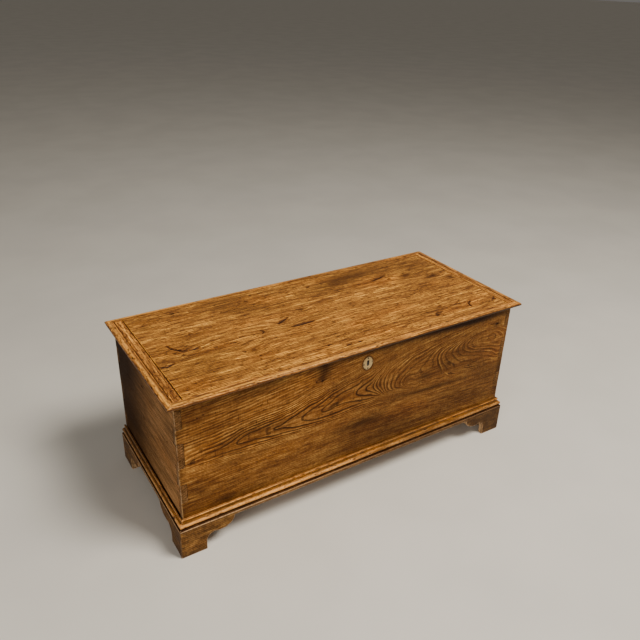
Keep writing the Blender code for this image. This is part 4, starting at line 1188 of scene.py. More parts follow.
def ring_gap(numbers: Callable[[np.ndarray], np.ndarray], across: np.ndarray) -> np.ndarray:
    """Return the distance from ring to ring at points of a face.

    Args:
        numbers: gives the ring number at points of the face.
        across: the points, in metres.

    Returns:
        Distances in metres, none over a tenth.
    """
    here = numbers(across)
    slopes = [numbers(across + way) - here for way in MILLIMETRE * np.eye(2)]
    return np.minimum(MILLIMETRE / np.maximum(np.hypot(*slopes), 0.01), 0.1)


@dataclass(frozen=True)
class RingLines:
    """Growth rings drawn on a face as a few lines, with the rings between them filled in smoothly."""

    lines: dict[float, tuple[Point, ...]]
    spacing: float = 28.0
    unit: float = 100.0
    softness: float = 0.02
    batch: int = 8000

    def seeds(self) -> tuple[np.ndarray, np.ndarray]:
        """Return points along the lines, and the ring number at each.

        Returns:
            The points, one a row, and their ring numbers.
        """
        points, numbers = [], []
        for number, line in self.lines.items():
            for start, end in zip(line, line[1:]):
                cuts = max(1, int(math.dist(start, end) // self.spacing))
                for step in range(cuts):
                    points.append(np.add(start, np.subtract(end, start) * step / cuts))
            points.append(np.array(line[-1], float))
            numbers += [number] * (len(points) - len(numbers))
        return np.array(points) / self.unit, np.array(numbers, float)

    def pull(self, points: np.ndarray, others: np.ndarray) -> np.ndarray:
        """Return how strongly each of some points feels each of the others, as a bent plate does."""
        away = np.linalg.norm(points[:, None] - others[None], axis=-1)
        return away**2 * np.log(np.maximum(away, MERGE_DISTANCE))

    def numbers(self, across: np.ndarray) -> np.ndarray:
        """Return the ring number at points of the face, given in metres.

        Args:
            across: the points' places on the face, one a row.

        Returns:
            One number for each point.
        """
        points, numbers = self.seeds()
        count = len(points)
        flat = np.hstack([np.ones((count, 1)), points])
        plate = self.pull(points, points) + self.softness * np.eye(count)
        system = np.block([[plate, flat], [flat.T, np.zeros((3, 3))]])
        weights = np.linalg.solve(system, np.concatenate([numbers, np.zeros(3)]))
        places = across / MILLIMETRE / self.unit
        found = [self.pull(part, points) @ weights[:-3] + weights[-3] + part @ weights[-2:]
                 for part in np.array_split(places, max(len(places) // self.batch, 1))]
        return np.concatenate(found)


FRONT_RINGS = RingLines({
    -22: ((-560, 132), (-300, 131), (0, 130), (300, 118), (560, 106)),
    -14: ((-560, 172), (-300, 170), (-50, 169), (250, 160), (560, 146)),
    -7: ((-560, 206), (-300, 203), (-50, 203), (200, 196), (400, 185), (560, 180)),
    -2: ((-560, 238), (-420, 236), (-200, 230), (0, 231), (100, 230), (300, 216), (560, 206)),
    3: ((-560, 262), (-400, 259), (-200, 252), (0, 254), (140, 246), (300, 236), (560, 230)),
    7: ((-560, 282), (-440, 279), (-300, 275), (-150, 270), (0, 271), (100, 266), (250, 252), (560, 248)),
    9: ((-560, 291), (-440, 293), (-330, 287), (-200, 279), (-80, 278), (40, 284), (120, 276), (250, 260),
        (400, 254), (560, 256)),
    10: ((-130, 384), (-180, 371), (-220, 358), (-260, 348), (-300, 341), (-340, 337), (-372, 335),
         (-396, 329), (-412, 320), (-394, 311), (-360, 308), (-328, 301), (-290, 294), (-240, 289),
         (-180, 284), (-90, 283), (0, 289), (60, 293), (150, 279), (280, 264), (420, 258), (560, 260)),
    11: ((-170, 357), (-210, 347), (-230, 340), (-260, 330), (-277, 320), (-266, 311), (-248, 303),
         (-200, 295)),
    12: ((30, 403), (-50, 388), (-105, 373), (-122, 362), (-150, 351), (-180, 341), (-200, 331),
         (-213, 320), (-200, 311), (-182, 304), (-150, 300), (-100, 300), (-50, 303), (10, 301),
         (64, 297), (150, 282), (280, 268), (420, 261)),
    13: ((32, 393), (-20, 373), (-44, 357), (-72, 345), (-102, 331), (-80, 325), (-58, 323), (-30, 318),
         (20, 308), (66, 299)),
    14: ((60, 392), (32, 376), (10, 367), (-10, 358), (-30, 347), (-10, 337), (20, 325), (50, 311),
         (70, 300), (160, 285)),
    15: ((46, 380), (10, 360), (-12, 349), (10, 339), (40, 323), (72, 304)),
    17: ((240, 447), (180, 436), (120, 418), (80, 401), (55, 384), (45, 360), (54, 332), (76, 306),
         (170, 287), (300, 272), (430, 265), (560, 267)),
    19: ((330, 448), (250, 437), (180, 424), (120, 401), (88, 384), (74, 360), (76, 334), (92, 309)),
    21: ((350, 440), (270, 424), (200, 408), (150, 388), (120, 369), (105, 349), (105, 329), (117, 307),
         (180, 290), (300, 276), (430, 269)),
    23: ((530, 457), (400, 440), (300, 419), (250, 404), (200, 384), (166, 362), (145, 346), (138, 330),
         (150, 310), (170, 298), (205, 288), (260, 283), (340, 278), (450, 273), (560, 275)),
    24: ((440, 442), (300, 410), (262, 398), (220, 362), (196, 330), (220, 305), (270, 292)),
    25: ((500, 445), (420, 437), (350, 424), (290, 410), (266, 388), (264, 362), (268, 340), (286, 318),
         (316, 298), (350, 285), (450, 278)),
    27: ((520, 438), (440, 430), (370, 416), (312, 400), (296, 378), (300, 352), (318, 330), (350, 312),
         (400, 296), (480, 286), (560, 284)),
    29: ((520, 429), (440, 422), (370, 405), (345, 388), (345, 366), (362, 347), (400, 330), (460, 315),
         (520, 304), (560, 296)),
    31: ((520, 421), (450, 416), (404, 406), (384, 390), (392, 370), (430, 353), (490, 338), (560, 313)),
    33: ((520, 412), (460, 410), (424, 398), (430, 380), (465, 366), (520, 354), (560, 344)),
    35: ((516, 402), (466, 400), (452, 394), (470, 384), (515, 375)),
    7.3: ((100, 446), (0, 422), (-100, 399), (-170, 383), (-220, 371), (-260, 363), (-300, 358),
          (-350, 356), (-380, 354), (-420, 345), (-450, 338), (-480, 333), (-500, 334), (-530, 330),
          (-556, 322)),
    5: ((180, 468), (80, 448), (-60, 418), (-170, 401), (-220, 388), (-250, 381), (-300, 376),
          (-350, 374), (-400, 370), (-450, 365), (-500, 361), (-565, 359)),
    2.2: ((40, 458), (-60, 438), (-180, 418), (-300, 398), (-400, 392), (-480, 384), (-565, 380)),
    -1: ((-100, 456), (-220, 440), (-340, 427), (-460, 414), (-565, 408)),
    -4.5: ((-260, 466), (-380, 454), (-480, 444), (-565, 438)),
    -8.5: ((-400, 480), (-565, 468)),
    16: ((400, 460), (540, 474)),
    10.5: ((300, 472), (200, 456), (120, 437), (30, 414)),
})


@dataclass
class Carcass(SubAssembly):
    """The six boards of the box: front with its figure, back, two ends and the bottom boards."""

    front_cell: float = 0.004
    plain_cell: float = 0.011
    arris: float = 0.0018
    joint_arris: float = 0.0004
    corner: float = 0.0026
    wave: float = 0.0004
    bottom_boards: int = 4
    front_marks: tuple[Dent | Split, ...] = (
        Split(((-0.569, 0.297), (-0.545, 0.3), (-0.521, 0.301), (-0.5, 0.305)), 0.0026, 0.0016),
        Split(((-0.4775, 0.32), (-0.4765, 0.309), (-0.477, 0.298)), 0.0016, 0.0008),
        Split(((-0.407, 0.409), (-0.406, 0.397), (-0.407, 0.386)), 0.0015, 0.0007, 0.8),
        Dent((-0.112, 0.331), (0.016, 0.004), 0.0004, 25.0, 0.45),
        Dent((-0.167, 0.427), (0.004, 0.003), 0.0012), Dent((-0.147, 0.425), (0.005, 0.004), 0.0015),
        Dent((0.527, 0.432), (0.007, 0.004), 0.0014, -10.0),
        Dent((0.503, 0.437), (0.01, 0.0022), 0.0007, -8.0, 0.5), Dent((0.352, 0.441), (0.005, 0.003), 0.001),
        Dent((-0.47, 0.432), (0.0025, 0.002), 0.0009), Dent((-0.503, 0.437), (0.0035, 0.002), 0.0009),
        Dent((-0.52, 0.433), (0.0028, 0.002), 0.0008),
        Dent((-0.32, 0.414), (0.0022, 0.008), 0.0006, 8.0, 0.6),
        Dent((-0.33, 0.392), (0.007, 0.002), 0.0006, 0.0, 0.6),
        Dent((-0.355, 0.36), (0.002, 0.005), 0.0007, 0.0, 0.6), Dent((0.548, 0.3), (0.003, 0.002), 0.0009),
    )
    # Stains on the show face; the long thin bands 0.464 to 0.477 high are painted shadow under the lid's
    # overhang.
    front_stains_and_shadow: tuple[Stain, ...] = (
        Stain((-0.142, 0.455), (0.03, 0.024), 0.75), Stain((-0.15, 0.43), (0.016, 0.012), 0.45),
        Stain((-0.1, 0.331), (0.03, 0.006), 0.65, 22.0), Stain((0.0, 0.231), (0.08, 0.018), 0.45),
        Stain((-0.23, 0.215), (0.14, 0.02), 0.25), Stain((-0.454, 0.141), (0.03, 0.012), 0.55),
        Stain((-0.42, 0.135), (0.1, 0.014), 0.3), Stain((-0.535, 0.21), (0.03, 0.03), 0.4),
        Stain((0.43, 0.464), (0.15, 0.01), 0.4), Stain((0.05, 0.477), (0.4, 0.009), 0.45),
        Stain((-0.38, 0.476), (0.25, 0.01), 0.25), Stain((0.235, 0.322), (0.022, 0.012), 0.4),
        Stain((0.28, 0.268), (0.15, 0.007), 0.45, -3.0), Stain((0.527, 0.432), (0.02, 0.01), 0.5),
        Stain((0.572, 0.24), (0.014, 0.11), 0.6), Stain((0.46, 0.18), (0.16, 0.06), 0.36),
        Stain((0.05, 0.15), (0.34, 0.035), 0.46), Stain((0.22, 0.41), (0.4, 0.11), 0.2),
        Stain((0.16, 0.19), (0.42, 0.05), 0.08), Stain((-0.57, 0.25), (0.01, 0.22), 0.3),
        Stain((0.12, 0.26), (0.3, 0.16), 0.35), Stain((0.42, 0.36), (0.22, 0.16), 0.2),
        Stain((0.3, 0.476), (0.36, 0.009), 0.35), Stain((0.44, 0.47), (0.2, 0.012), 0.25),
    )
    front_figure: tuple[Stain, ...] = (
        Stain((-0.33, 0.322), (0.16, 0.04), 1.0), Stain((-0.2, 0.33), (0.12, 0.05), 0.8),
        Stain((-0.05, 0.34), (0.09, 0.055), 0.7), Stain((0.06, 0.34), (0.07, 0.05), 0.25),
        Stain((0.34, 0.365), (0.16, 0.08), 0.28), Stain((0.5, 0.395), (0.07, 0.025), -0.8),
        Stain((0.25, 0.316), (0.022, 0.016), -1.1), Stain((0.19, 0.3), (0.055, 0.014), -0.9),
        Stain((0.34, 0.3), (0.06, 0.016), -0.7), Stain((0.1, 0.385), (0.06, 0.03), -0.3),
    )
    plain_boldness: float = 0.38
    first_ring: float = 40.0
    gap_height: float = 0.1255
    left_marks: tuple[Dent | Split, ...] = (
        Dent((0.012, 0.403), (0.012, 0.003), 0.0012, -12.0),
        Dent((-0.168, 0.335), (0.01, 0.0025), 0.0006, -40.0, 0.4),
        Dent((0.028, 0.285), (0.008, 0.003), 0.0006, 20.0, 0.5),
        Split(((0.155, 0.372), (0.12, 0.366), (0.085, 0.367)), 0.0018, 0.0012),
    )
    # The left end darker towards the back: painted shade.
    left_stains_and_shade: tuple[Stain, ...] = (
        Stain((0.32, 0.24), (0.38, 0.7), 0.85), Stain((0.12, 0.42), (0.22, 0.1), 0.35),
        Stain((0.1, 0.2), (0.16, 0.14), 0.3),
    )
    right_stains: tuple[Stain, ...] = (
        Stain((0.16, 0.42), (0.18, 0.06), 0.35), Stain((-0.1, 0.15), (0.2, 0.04), 0.35),
    )
    dry_depth: float = 0.004
    flush: float = 0.001
    joint_start: float = 0.55
    gap_cell: float = 0.0025
    tail_cell: float = 0.003
    bottom_cell: float = 0.018

    def build(self) -> None:
        """Make all six boards."""
        self.build_front()
        self.build_end(Side(Axis.X, -1.0), "left", self.left_marks, self.left_stains_and_shade)
        self.build_end(Side(Axis.X, 1.0), "right", self.left_marks[:2], self.right_stains)
        self.build_back()
        for number in range(1, self.bottom_boards + 1):
            self.build_bottom_board(number)

    def build_front(self) -> None:
        """Make the front board, with the figure, splits and stains of its show face."""
        piece = self.start("front_board")
        face = piece.outer(Axis.Y)
        piece.rub(self.arris, 3, lambda middle, way: piece.on_corner(middle, way) and middle.y < 0)
        piece.rub(self.joint_arris, 1, lying_at(Axis.Y, face))
        piece.rub(self.joint_arris, 1, lying_at(Axis.Z, piece.high[2]))
        piece.grid((Axis.X, Axis.Z), self.front_cell,
                   lambda middle, normal: middle.y < face + 0.9 * self.arris and abs(normal.z) < ALONG)
        piece.refine(FRONT, 3, self.front_marks)
        piece.weather(self.wave, 0.0007, Axis.X, 1.0)
        places = piece.places()
        by_face = places[:, 1] < face + self.corner
        from_middle = np.abs(places[:, 0])
        piece.clean((from_middle > piece.high[0] - self.flush) & (places[:, 1] > face + self.corner))
        piece.clean(by_face & (from_middle > self.joint_start) & (from_middle < piece.high[0] - self.corner))
        piece.wipe("wear", places[:, 2] > piece.high[2] - self.corner, 0.5)
        piece.carve(FRONT, self.front_marks)
        # stains, and the painted shadow under the lid
        piece.stain_and_shade(FRONT, self.front_stains_and_shadow)
        # a dark ring round the escutcheon, and painted shade in the keyhole
        piece.paint("dirt", self.rim_shade(places, by_face))
        piece.soil(Axis.Y, 0.016, 0.55, 5.0)
        self.draw_figure(piece)
        piece.finish("carcass", "elm_front", Finishes.FRONT,
                     (Finishes.DRY_X, lambda middle, normal: middle.y > face + self.dry_depth),
                     (Finishes.ENDS, facing(Axis.X)))

    def draw_figure(self, piece: Workpiece) -> None:
        """Paint the front board's growth rings, bold in some places and lit in others.

        Args:
            piece: the front board.
        """
        across = piece.places()[:, [0, 2]]
        piece.paint("ring", FRONT_RINGS.numbers(across) + self.first_ring)
        plain = np.full(len(across), self.plain_boldness)
        bold = sum((patch.reach(across) for patch in self.front_figure), plain)
        piece.paint("bold", np.clip(bold, 0.15, 1.0))
        rightward = soft_step(across[:, 0], 0.04, 0.16) * soft_step(across[:, 1], 0.26, 0.31)
        piece.paint("lit", 0.58 + 0.42 * rightward)
        piece.paint("gap", ring_gap(FRONT_RINGS.numbers, across))

    def rim_shade(self, places: np.ndarray, by_face: np.ndarray) -> np.ndarray:
        """Return the darkening round the escutcheon: a dark ring on the show face round the plate, and
        painted shade in the keyhole behind it.

        Args:
            places: points of the front board.
            by_face: true for each point on its show face.

        Returns:
            The darkening at each point.
        """
        low, high = (np.array(corner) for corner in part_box("escutcheon"))
        centre, half = (low + high) / 2, (high - low) / 2 + 0.0012
        away = np.hypot((places[:, 0] - centre[0]) / half[0], (places[:, 2] - centre[2]) / half[2])
        return np.maximum(0.9 * soft_step(away, 1.16, 1.0) * by_face, soft_step(away, 0.9, 0.6))

    def build_end(self, outside: Side, side: str, marks: Sequence[Dent | Split],
                  stains: Sequence[Stain]) -> None:
        """Make an end board, whose tails show as end grain on the front and back.

        Args:
            outside: its outer side.
            side: left or right.
            marks: its dents and splits.
            stains: its darker patches.
        """
        piece = self.start(f"{side}_end_board")
        outward = outside.outward
        face, front, back = piece.outer(Axis.X), piece.low[1], piece.high[1]
        piece.rub(self.arris, 3, lambda middle, way: piece.on_corner(middle, way)
                  and abs(middle.x - face) < CUT_SNAP)
        piece.rub(self.joint_arris, 1, lambda middle, way: piece.on_box(middle, 1))
        piece.grid((Axis.Y, Axis.Z), self.plain_cell)
        for near in (front + self.corner, back - 2.0 * self.corner):
            piece.slice(Axis.Y, self.corner, span=(near, near + self.corner))
        piece.slice(Axis.Z, self.gap_cell,
                    span=(self.gap_height - self.gap_cell, self.gap_height + 2.0 * self.gap_cell))
        piece.grid((Axis.X, Axis.Z), self.tail_cell,
                   lambda middle, normal: abs(normal.y) > FACING and piece.on_box(middle, 1))
        piece.refine(outside, 5, marks)
        piece.weather(self.wave, 0.0006, Axis.Y, 2.0 + outward)
        places = piece.places()
        from_face = np.abs(places[:, 0] - face)
        from_front, from_back = places[:, 1] - front, back - places[:, 1]
        flush = (np.abs(from_front) < self.flush) | (np.abs(from_back) < self.flush)
        piece.wipe("wear", flush & (from_face > self.corner))
        piece.wipe("dirt", flush & (places[:, 1] < 0.0), 0.4)
        piece.wipe("wear", places[:, 2] > piece.high[2] - self.flush, 0.35)
        inside_corner = np.minimum(from_front, from_back) > 0.5 * self.corner
        piece.wipe("wear", inside_corner & (from_face < self.corner), 0.1)
        piece.carve(outside, marks)
        # stains; on the left end they are painted shade towards the back
        piece.stain_and_shade(outside, stains)
        # dirt and painted shade in the gap above the base moulding, on the end's outer face
        gap_dirt_and_shade = soft_step(places[:, 2], self.gap_height + 0.0052, self.gap_height + 0.0015)
        piece.paint("dirt", 0.95 * gap_dirt_and_shade * (from_face < self.flush) * (places[:, 1] > front + self.flush))
        piece.soil(Axis.X, 0.014, 0.5, 6.0)
        inner = face - outward * self.dry_depth
        piece.finish("carcass", "elm_ends", Finishes.ENDS,
                     (Finishes.DRY_Y, lambda middle, normal: normal.y > 0.5
                      or ((middle.x - inner) * outward < 0 and abs(normal.y) < 0.5)))

    def build_back(self) -> None:
        """Make the back board, which was never polished."""
        piece = self.start("back_board")
        piece.rub(self.arris, 3, lambda middle, way: piece.on_corner(middle, way) and middle.y > 0)
        piece.rub(self.joint_arris, 1, lambda middle, way: piece.on_box(middle, 1))
        piece.grid((Axis.X, Axis.Z), self.plain_cell)
        piece.weather(1.5 * self.wave, 0.0008, Axis.X, 4.0)
        along = piece.places()[:, 0]
        pin_ends = np.abs(along) > piece.high[0] - self.flush
        piece.clean(pin_ends)
        piece.paint("stain_and_shade", pin_ends * np.where(along < 0.0, 0.75, 0.25))
        piece.soil(Axis.Y, 0.02, 0.5, 7.0)
        inner = piece.outer(Axis.Y) - self.dry_depth
        piece.finish("carcass", "elm_back", Finishes.BACK,
                     (Finishes.DRY_X, lambda middle, normal: middle.y < inner),
                     (Finishes.ENDS, facing(Axis.X)))

    def build_bottom_board(self, number: int) -> None:
        """Make one of the boards across the bottom.

        Args:
            number: which board it is, from the left.
        """
        piece = self.start(f"bottom_board_{number}")
        piece.rub(0.0008, 2, lambda middle, way: piece.on_box(middle))
        piece.grid((Axis.X, Axis.Y), self.bottom_cell)
        piece.weather(0.0006, 0.0008, Axis.Y, 10.0 + number)
        piece.soil(Axis.Z, 0.02, 0.5, 8.0)
        piece.finish("carcass", "pine", Finishes.PINE)


@dataclass
class Lid(SubAssembly):
    """The framed lid: one wide panel, two cleats on its ends and an edge moulding all round."""

    top_cell: float = 0.004
    strip_cell: float = 0.0036
    nose_shade: float = 0.9
    under_cell: float = 0.012
    wave: float = 0.0006
    ring_width: float = 0.0062
    panel_marks: tuple[Dent | Split, ...] = (
        Split(((-0.495, 0.028), (-0.488, 0.005), (-0.468, -0.018), (-0.456, -0.022)), 0.0104, 0.0028),
        Split(((-0.447, -0.024), (-0.433, -0.026), (-0.418, -0.025)), 0.0096, 0.0024),
        Split(((-0.55, -0.07), (-0.533, -0.079), (-0.51, -0.071)), 0.0104, 0.0028),
        Split(((-0.158, -0.006), (-0.146, 0.003), (-0.132, 0.008), (-0.116, 0.018)), 0.0109, 0.003),
        Split(((-0.225, -0.018), (-0.219, -0.028), (-0.228, -0.036)), 0.0068, 0.0016, 0.9),
        Split(((-0.133, -0.042), (-0.1, -0.043), (-0.056, -0.04)), 0.0104, 0.0022),
        Split(((0.4515, -0.168), (0.443, -0.182), (0.438, -0.199)), 0.0086, 0.0022),
        Split(((0.462, -0.166), (0.451, -0.176)), 0.0075, 0.002),
        Split(((0.385, -0.158), (0.4, -0.162), (0.416, -0.156)), 0.0075, 0.002),
        Split(((0.272, 0.112), (0.305, 0.12), (0.342, 0.134)), 0.0083, 0.0016, 0.9),
        Split(((0.05, 0.05), (0.1, 0.054), (0.155, 0.051)), 0.0052, 0.0012, 0.7),
        Split(((-0.4, -0.112), (-0.34, -0.118)), 0.0047, 0.001, 0.7),
        Dent((-0.14, 0.006), (0.011, 0.006), 0.0015, 30.0, 0.8),
        Dent((-0.052, 0.045), (0.012, 0.009), 0.0009, 0.0, 0.55),
        Dent((-0.4115, 0.207), (0.0093, 0.0051), 0.0014), Dent((-0.4115, 0.064), (0.0078, 0.0051), 0.0012),
        Dent((-0.179, 0.176), (0.0093, 0.0051), 0.0014),
        Dent((-0.133, 0.102), (0.01, 0.002), 0.0008, 8.0, 0.7),
        Dent((-0.291, -0.145), (0.0039, 0.0043), 0.0012), Dent((-0.298, -0.162), (0.0031, 0.0051), 0.0009),
        Dent((-0.498, -0.188), (0.005, 0.004), 0.001, 0.0, 0.6),
        Dent((-0.314, -0.215), (0.0078, 0.0034), 0.0012), Dent((-0.045, -0.213), (0.0124, 0.0034), 0.0012),
        Dent((-0.006, -0.213), (0.0109, 0.0044), 0.0016), Dent((0.0515, 0.178), (0.0093, 0.0048), 0.0013),
        Dent((-0.141, -0.1915), (0.012, 0.003), 0.0005, 0.0, 0.5),
        Dent((-0.098, -0.189), (0.0047, 0.0034), 0.0009),
        Dent((0.3015, -0.1915), (0.0109, 0.0085), 0.002, 40.0),
        Dent((0.318, -0.2), (0.004, 0.003), 0.0012, 0.0, 0.7),
        Dent((0.348, -0.149), (0.01, 0.007), 0.0008, 30.0, 0.5),
        Dent((0.544, -0.1915), (0.0109, 0.0068), 0.0018), Dent((0.532, -0.199), (0.0062, 0.0051), 0.0012),
        Dent((0.551, -0.183), (0.0062, 0.0051), 0.0012),
        Dent((0.371, -0.0085), (0.003, 0.0025), 0.0008, 0.0, 0.7),
        Dent((0.405, 0.097), (0.018, 0.012), 0.0007, 0.0, 0.1),
        Dent((0.49, 0.051), (0.02, 0.006), 0.0008, 15.0, 0.22),
        Dent((0.536, 0.012), (0.01, 0.007), 0.0006, 0.0, 0.5),
        Dent((-0.295, -0.111), (0.01, 0.008), 0.0006, 0.0, 0.35),
        Dent((0.335, 0.1), (0.0093, 0.0051), 0.001),
    )
    panel_stains: tuple[Stain, ...] = (
        Stain((-0.514, 0.156), (0.02, 0.014), 0.65), Stain((-0.437, 0.068), (0.026, 0.018), 0.4),
        Stain((-0.295, -0.111), (0.022, 0.018), 0.4), Stain((-0.14, 0.004), (0.026, 0.014), 0.45, 30.0),
        Stain((-0.052, 0.045), (0.018, 0.013), 0.55), Stain((-0.095, -0.0415), (0.05, 0.006), 0.55),
        Stain((0.405, 0.097), (0.036, 0.022), 0.55), Stain((0.49, 0.051), (0.034, 0.014), 0.65, 15.0),
        Stain((0.536, 0.012), (0.022, 0.012), 0.6), Stain((0.13, 0.15), (0.1, 0.042), 0.6, 6.0),
        Stain((0.23, 0.185), (0.1, 0.032), 0.55, 4.0), Stain((0.02, 0.15), (0.05, 0.014), 0.2, 8.0),
        Stain((0.31, 0.128), (0.045, 0.01), 0.5, 15.0), Stain((0.45, 0.17), (0.12, 0.09), 0.42),
        Stain((0.5, 0.1), (0.06, 0.1), 0.22), Stain((-0.3, -0.17), (0.2, 0.04), 0.18),
        Stain((0.02, -0.15), (0.1, 0.02), 0.15), Stain((0.46, -0.13), (0.16, 0.11), 0.14),
        Stain((-0.4, 0.2), (0.18, 0.05), 0.1), Stain((0.35, -0.02), (0.2, 0.03), 0.15),
        Stain((0.5, -0.205), (0.03, 0.015), 0.35), Stain((0.31, -0.195), (0.02, 0.012), 0.35),
    )
    knots: tuple[tuple[float, float, float, float], ...] = (
        (-0.14, 0.004, 0.03, 3.0), (-0.052, 0.045, 0.024, 2.2), (-0.295, -0.111, 0.03, 2.6),
        (-0.437, 0.068, 0.03, 1.6), (0.405, 0.097, 0.036, 3.0), (0.49, 0.051, 0.026, 1.8),
        (-0.325, -0.061, 0.045, 3.2), (-0.08, -0.07, 0.05, 2.4), (0.4515, -0.184, 0.03, 1.5),
        (-0.514, 0.156, 0.03, 1.6), (-0.47, -0.02, 0.04, 2.0), (0.31, -0.19, 0.03, 1.5),
    )
    cleat_split: Split = Split(((-0.587, 0.032), (-0.574, 0.04), (-0.556, 0.045)), 0.0022, 0.0014)
    first_ring: float = 60.0
    joint: float = 0.0026
    dry_depth: float = 0.003

    def build(self) -> None:
        """Make the panel, the cleats and the four edge mouldings."""
        self.build_panel()
        self.build_cleat("left", 26, (-0.236, -0.1))
        self.build_cleat("right", 8, (-0.22, 0.2))
        for side, axis in (("front", Axis.X), ("back", Axis.X), ("left", Axis.Y), ("right", Axis.Y)):
            self.build_edge(side, axis)

    def panel_rings(self, places: np.ndarray) -> np.ndarray:
        """Return the ring number at points of the panel: long lines that part round its knots.

        Args:
            places: the points, one a row.

        Returns:
            One number for each point.
        """
        flat = np.column_stack([places, np.zeros(len(places))])
        numbers = places[:, 1] / self.ring_width + 1.8 * rolling(flat, (1.7, 5.0, 1.0), 21.0)
        for x, y, reach, strength in self.knots:
            along = (places[:, 0] - x) / (2.0 * reach)
            over = (places[:, 1] - y) / reach
            near = np.exp(-(along**2) - over**2)
            numbers += strength * near * (0.8 - 1.4 * over)
        return numbers + self.first_ring

    def build_panel(self) -> None:
        """Make the lid's panel, with its knots, splits and pits."""
        piece = self.start("lid_panel")
        top = piece.high[2]
        piece.rub(0.0009, 2, lying_at(Axis.Z, top))
        piece.grid((Axis.X, Axis.Y), self.top_cell,
                   lambda middle, normal: middle.z > top - 0.0012 and normal.z > 0.1)
        piece.refine(TOP, 3, self.panel_marks)
        piece.grid((Axis.X, Axis.Y), self.under_cell, lambda middle, normal: normal.z < -FACING)
        piece.weather(self.wave, 0.0006, Axis.X, 12.0)
        places = piece.places()
        leftward = soft_step(places[:, 0], -0.15, -0.4)
        piece.wipe("wear", places[:, 1] < piece.low[1] + 0.006, leftward * 0.7 + 0.2)
        from_end = np.minimum(places[:, 0] - piece.low[0], piece.high[0] - places[:, 0])
        piece.wipe("wear", from_end < self.joint)
        shade = np.where(places[:, 0] > 0.0, 0.5, 1.0)
        piece.paint("dirt", 0.92 * soft_step(from_end, 0.003, 0.0014) * shade)
        piece.carve(TOP, self.panel_marks)
        piece.stain_and_shade(TOP, self.panel_stains)
        piece.soil(Axis.Z, 0.006, 0.45, 13.0)
        across = piece.places()[:, :2]
        piece.paint("ring", self.panel_rings(across))
        for name in ("bold", "lit"):
            piece.paint(name, np.ones(len(across)))
        piece.paint("gap", ring_gap(self.panel_rings, across))
        piece.finish("lid", "elm_lid", Finishes.LID,
                     (Finishes.DRY_X, lambda middle, normal: middle.z < top - self.dry_depth))

    def pits(self, count: int, x_span: Point, y_span: Point, seed: int) -> list[Dent]:
        """Return small pits scattered over an area, the same each time.

        Args:
            count: how many there are.
            x_span: from where to where along X.
            y_span: from where to where along Y.
            seed: what tells this area's pits from another's.

        Returns:
            The pits, as dents.
        """
        dice = np.random.default_rng(SEED + seed)
        return [Dent((dice.uniform(*x_span), dice.uniform(*y_span)),
                     (dice.uniform(0.0012, 0.0035), dice.uniform(0.001, 0.002)),
                     dice.uniform(0.0008, 0.0018), dice.uniform(60.0, 120.0)) for _ in range(count)]

    def build_cleat(self, side: str, count: int, pitted: Point) -> None:
        """Make the cleat on one end of the panel.

        Args:
            side: left or right.
            count: how many pits it has.
            pitted: from where to where along Y they are.
        """
        piece = self.start(f"lid_cleat_{side}")
        is_left = side == "left"
        top = piece.high[2]
        width = (piece.low[0], piece.high[0])
        marks: list[Dent | Split] = list(self.pits(count, width, pitted, len(side)))
        if is_left:
            marks += [self.cleat_split, *self.pits(14, width, (-0.06, 0.18), 3)]
        piece.rub(0.001, 2, lying_at(Axis.Z, top))
        piece.slice(Axis.Y, self.top_cell)
        piece.slice(Axis.X, self.top_cell, lambda middle, normal: middle.z > top - 0.0015)
        piece.refine(TOP, 3, marks)
        piece.weather(self.wave, 0.0009, Axis.Y, 14.0)
        places = piece.places()
        from_side = np.minimum(places[:, 0] - piece.low[0], piece.high[0] - places[:, 0])
        piece.wipe("wear", from_side < self.joint, 0.1 if is_left else 0.6)
        by_panel = np.abs(places[:, 0]) < abs(piece.low[0] + piece.high[0]) / 2
        shade = np.where(by_panel, 0.95, 0.4) if is_left else 0.4
        piece.paint("dirt", shade * soft_step(from_side, self.joint, 0.0012))
        # painted shade: the right cleat a little darker, as more light falls on it
        piece.paint("stain_and_shade", np.full(len(places), 0.0 if is_left else 0.12))
        piece.carve(TOP, marks)
        piece.soil(Axis.Z, 0.004, 0.5, 15.0)
        piece.finish("lid", "elm_lid", Finishes.CLEAT,
                     (Finishes.DRY_Y, lambda middle, normal: middle.z < top - self.dry_depth))

    def build_edge(self, side: str, axis: Axis) -> None:
        """Make one length of the edge moulding, its nose worn and nicked, with a painted highlight on its
        upper round and painted shade below.

        Args:
            side: front, back, left or right.
            axis: its length.
        """
        piece = self.start(f"lid_moulding_{side}")
        top, across = piece.high[2], axis.beside
        piece.rub(0.0007, 2, lambda middle, way: abs(middle.z - top) < CUT_SNAP
                  and abs(way[axis.value]) > ALONG)
        piece.slice(axis, self.strip_cell)
        piece.slice(across, 0.0024, lambda middle, normal: normal.z > ALONG)
        nick_strip(piece, axis, 90 if side in ("front", "left") else 40, 0.0012, len(side))
        piece.weather(0.0004, 0.0007, axis, 16.0 + len(side))
        # wear, and a painted highlight along the nose's upper round
        paint_wear_and_highlight(piece, axis, 1.0, 0.0098, 0.005)
        places, facing_up = piece.places(), piece.normals()[:, 2]
        along, below = places[:, 0], top - places[:, 2]
        nose = below > 0.0008
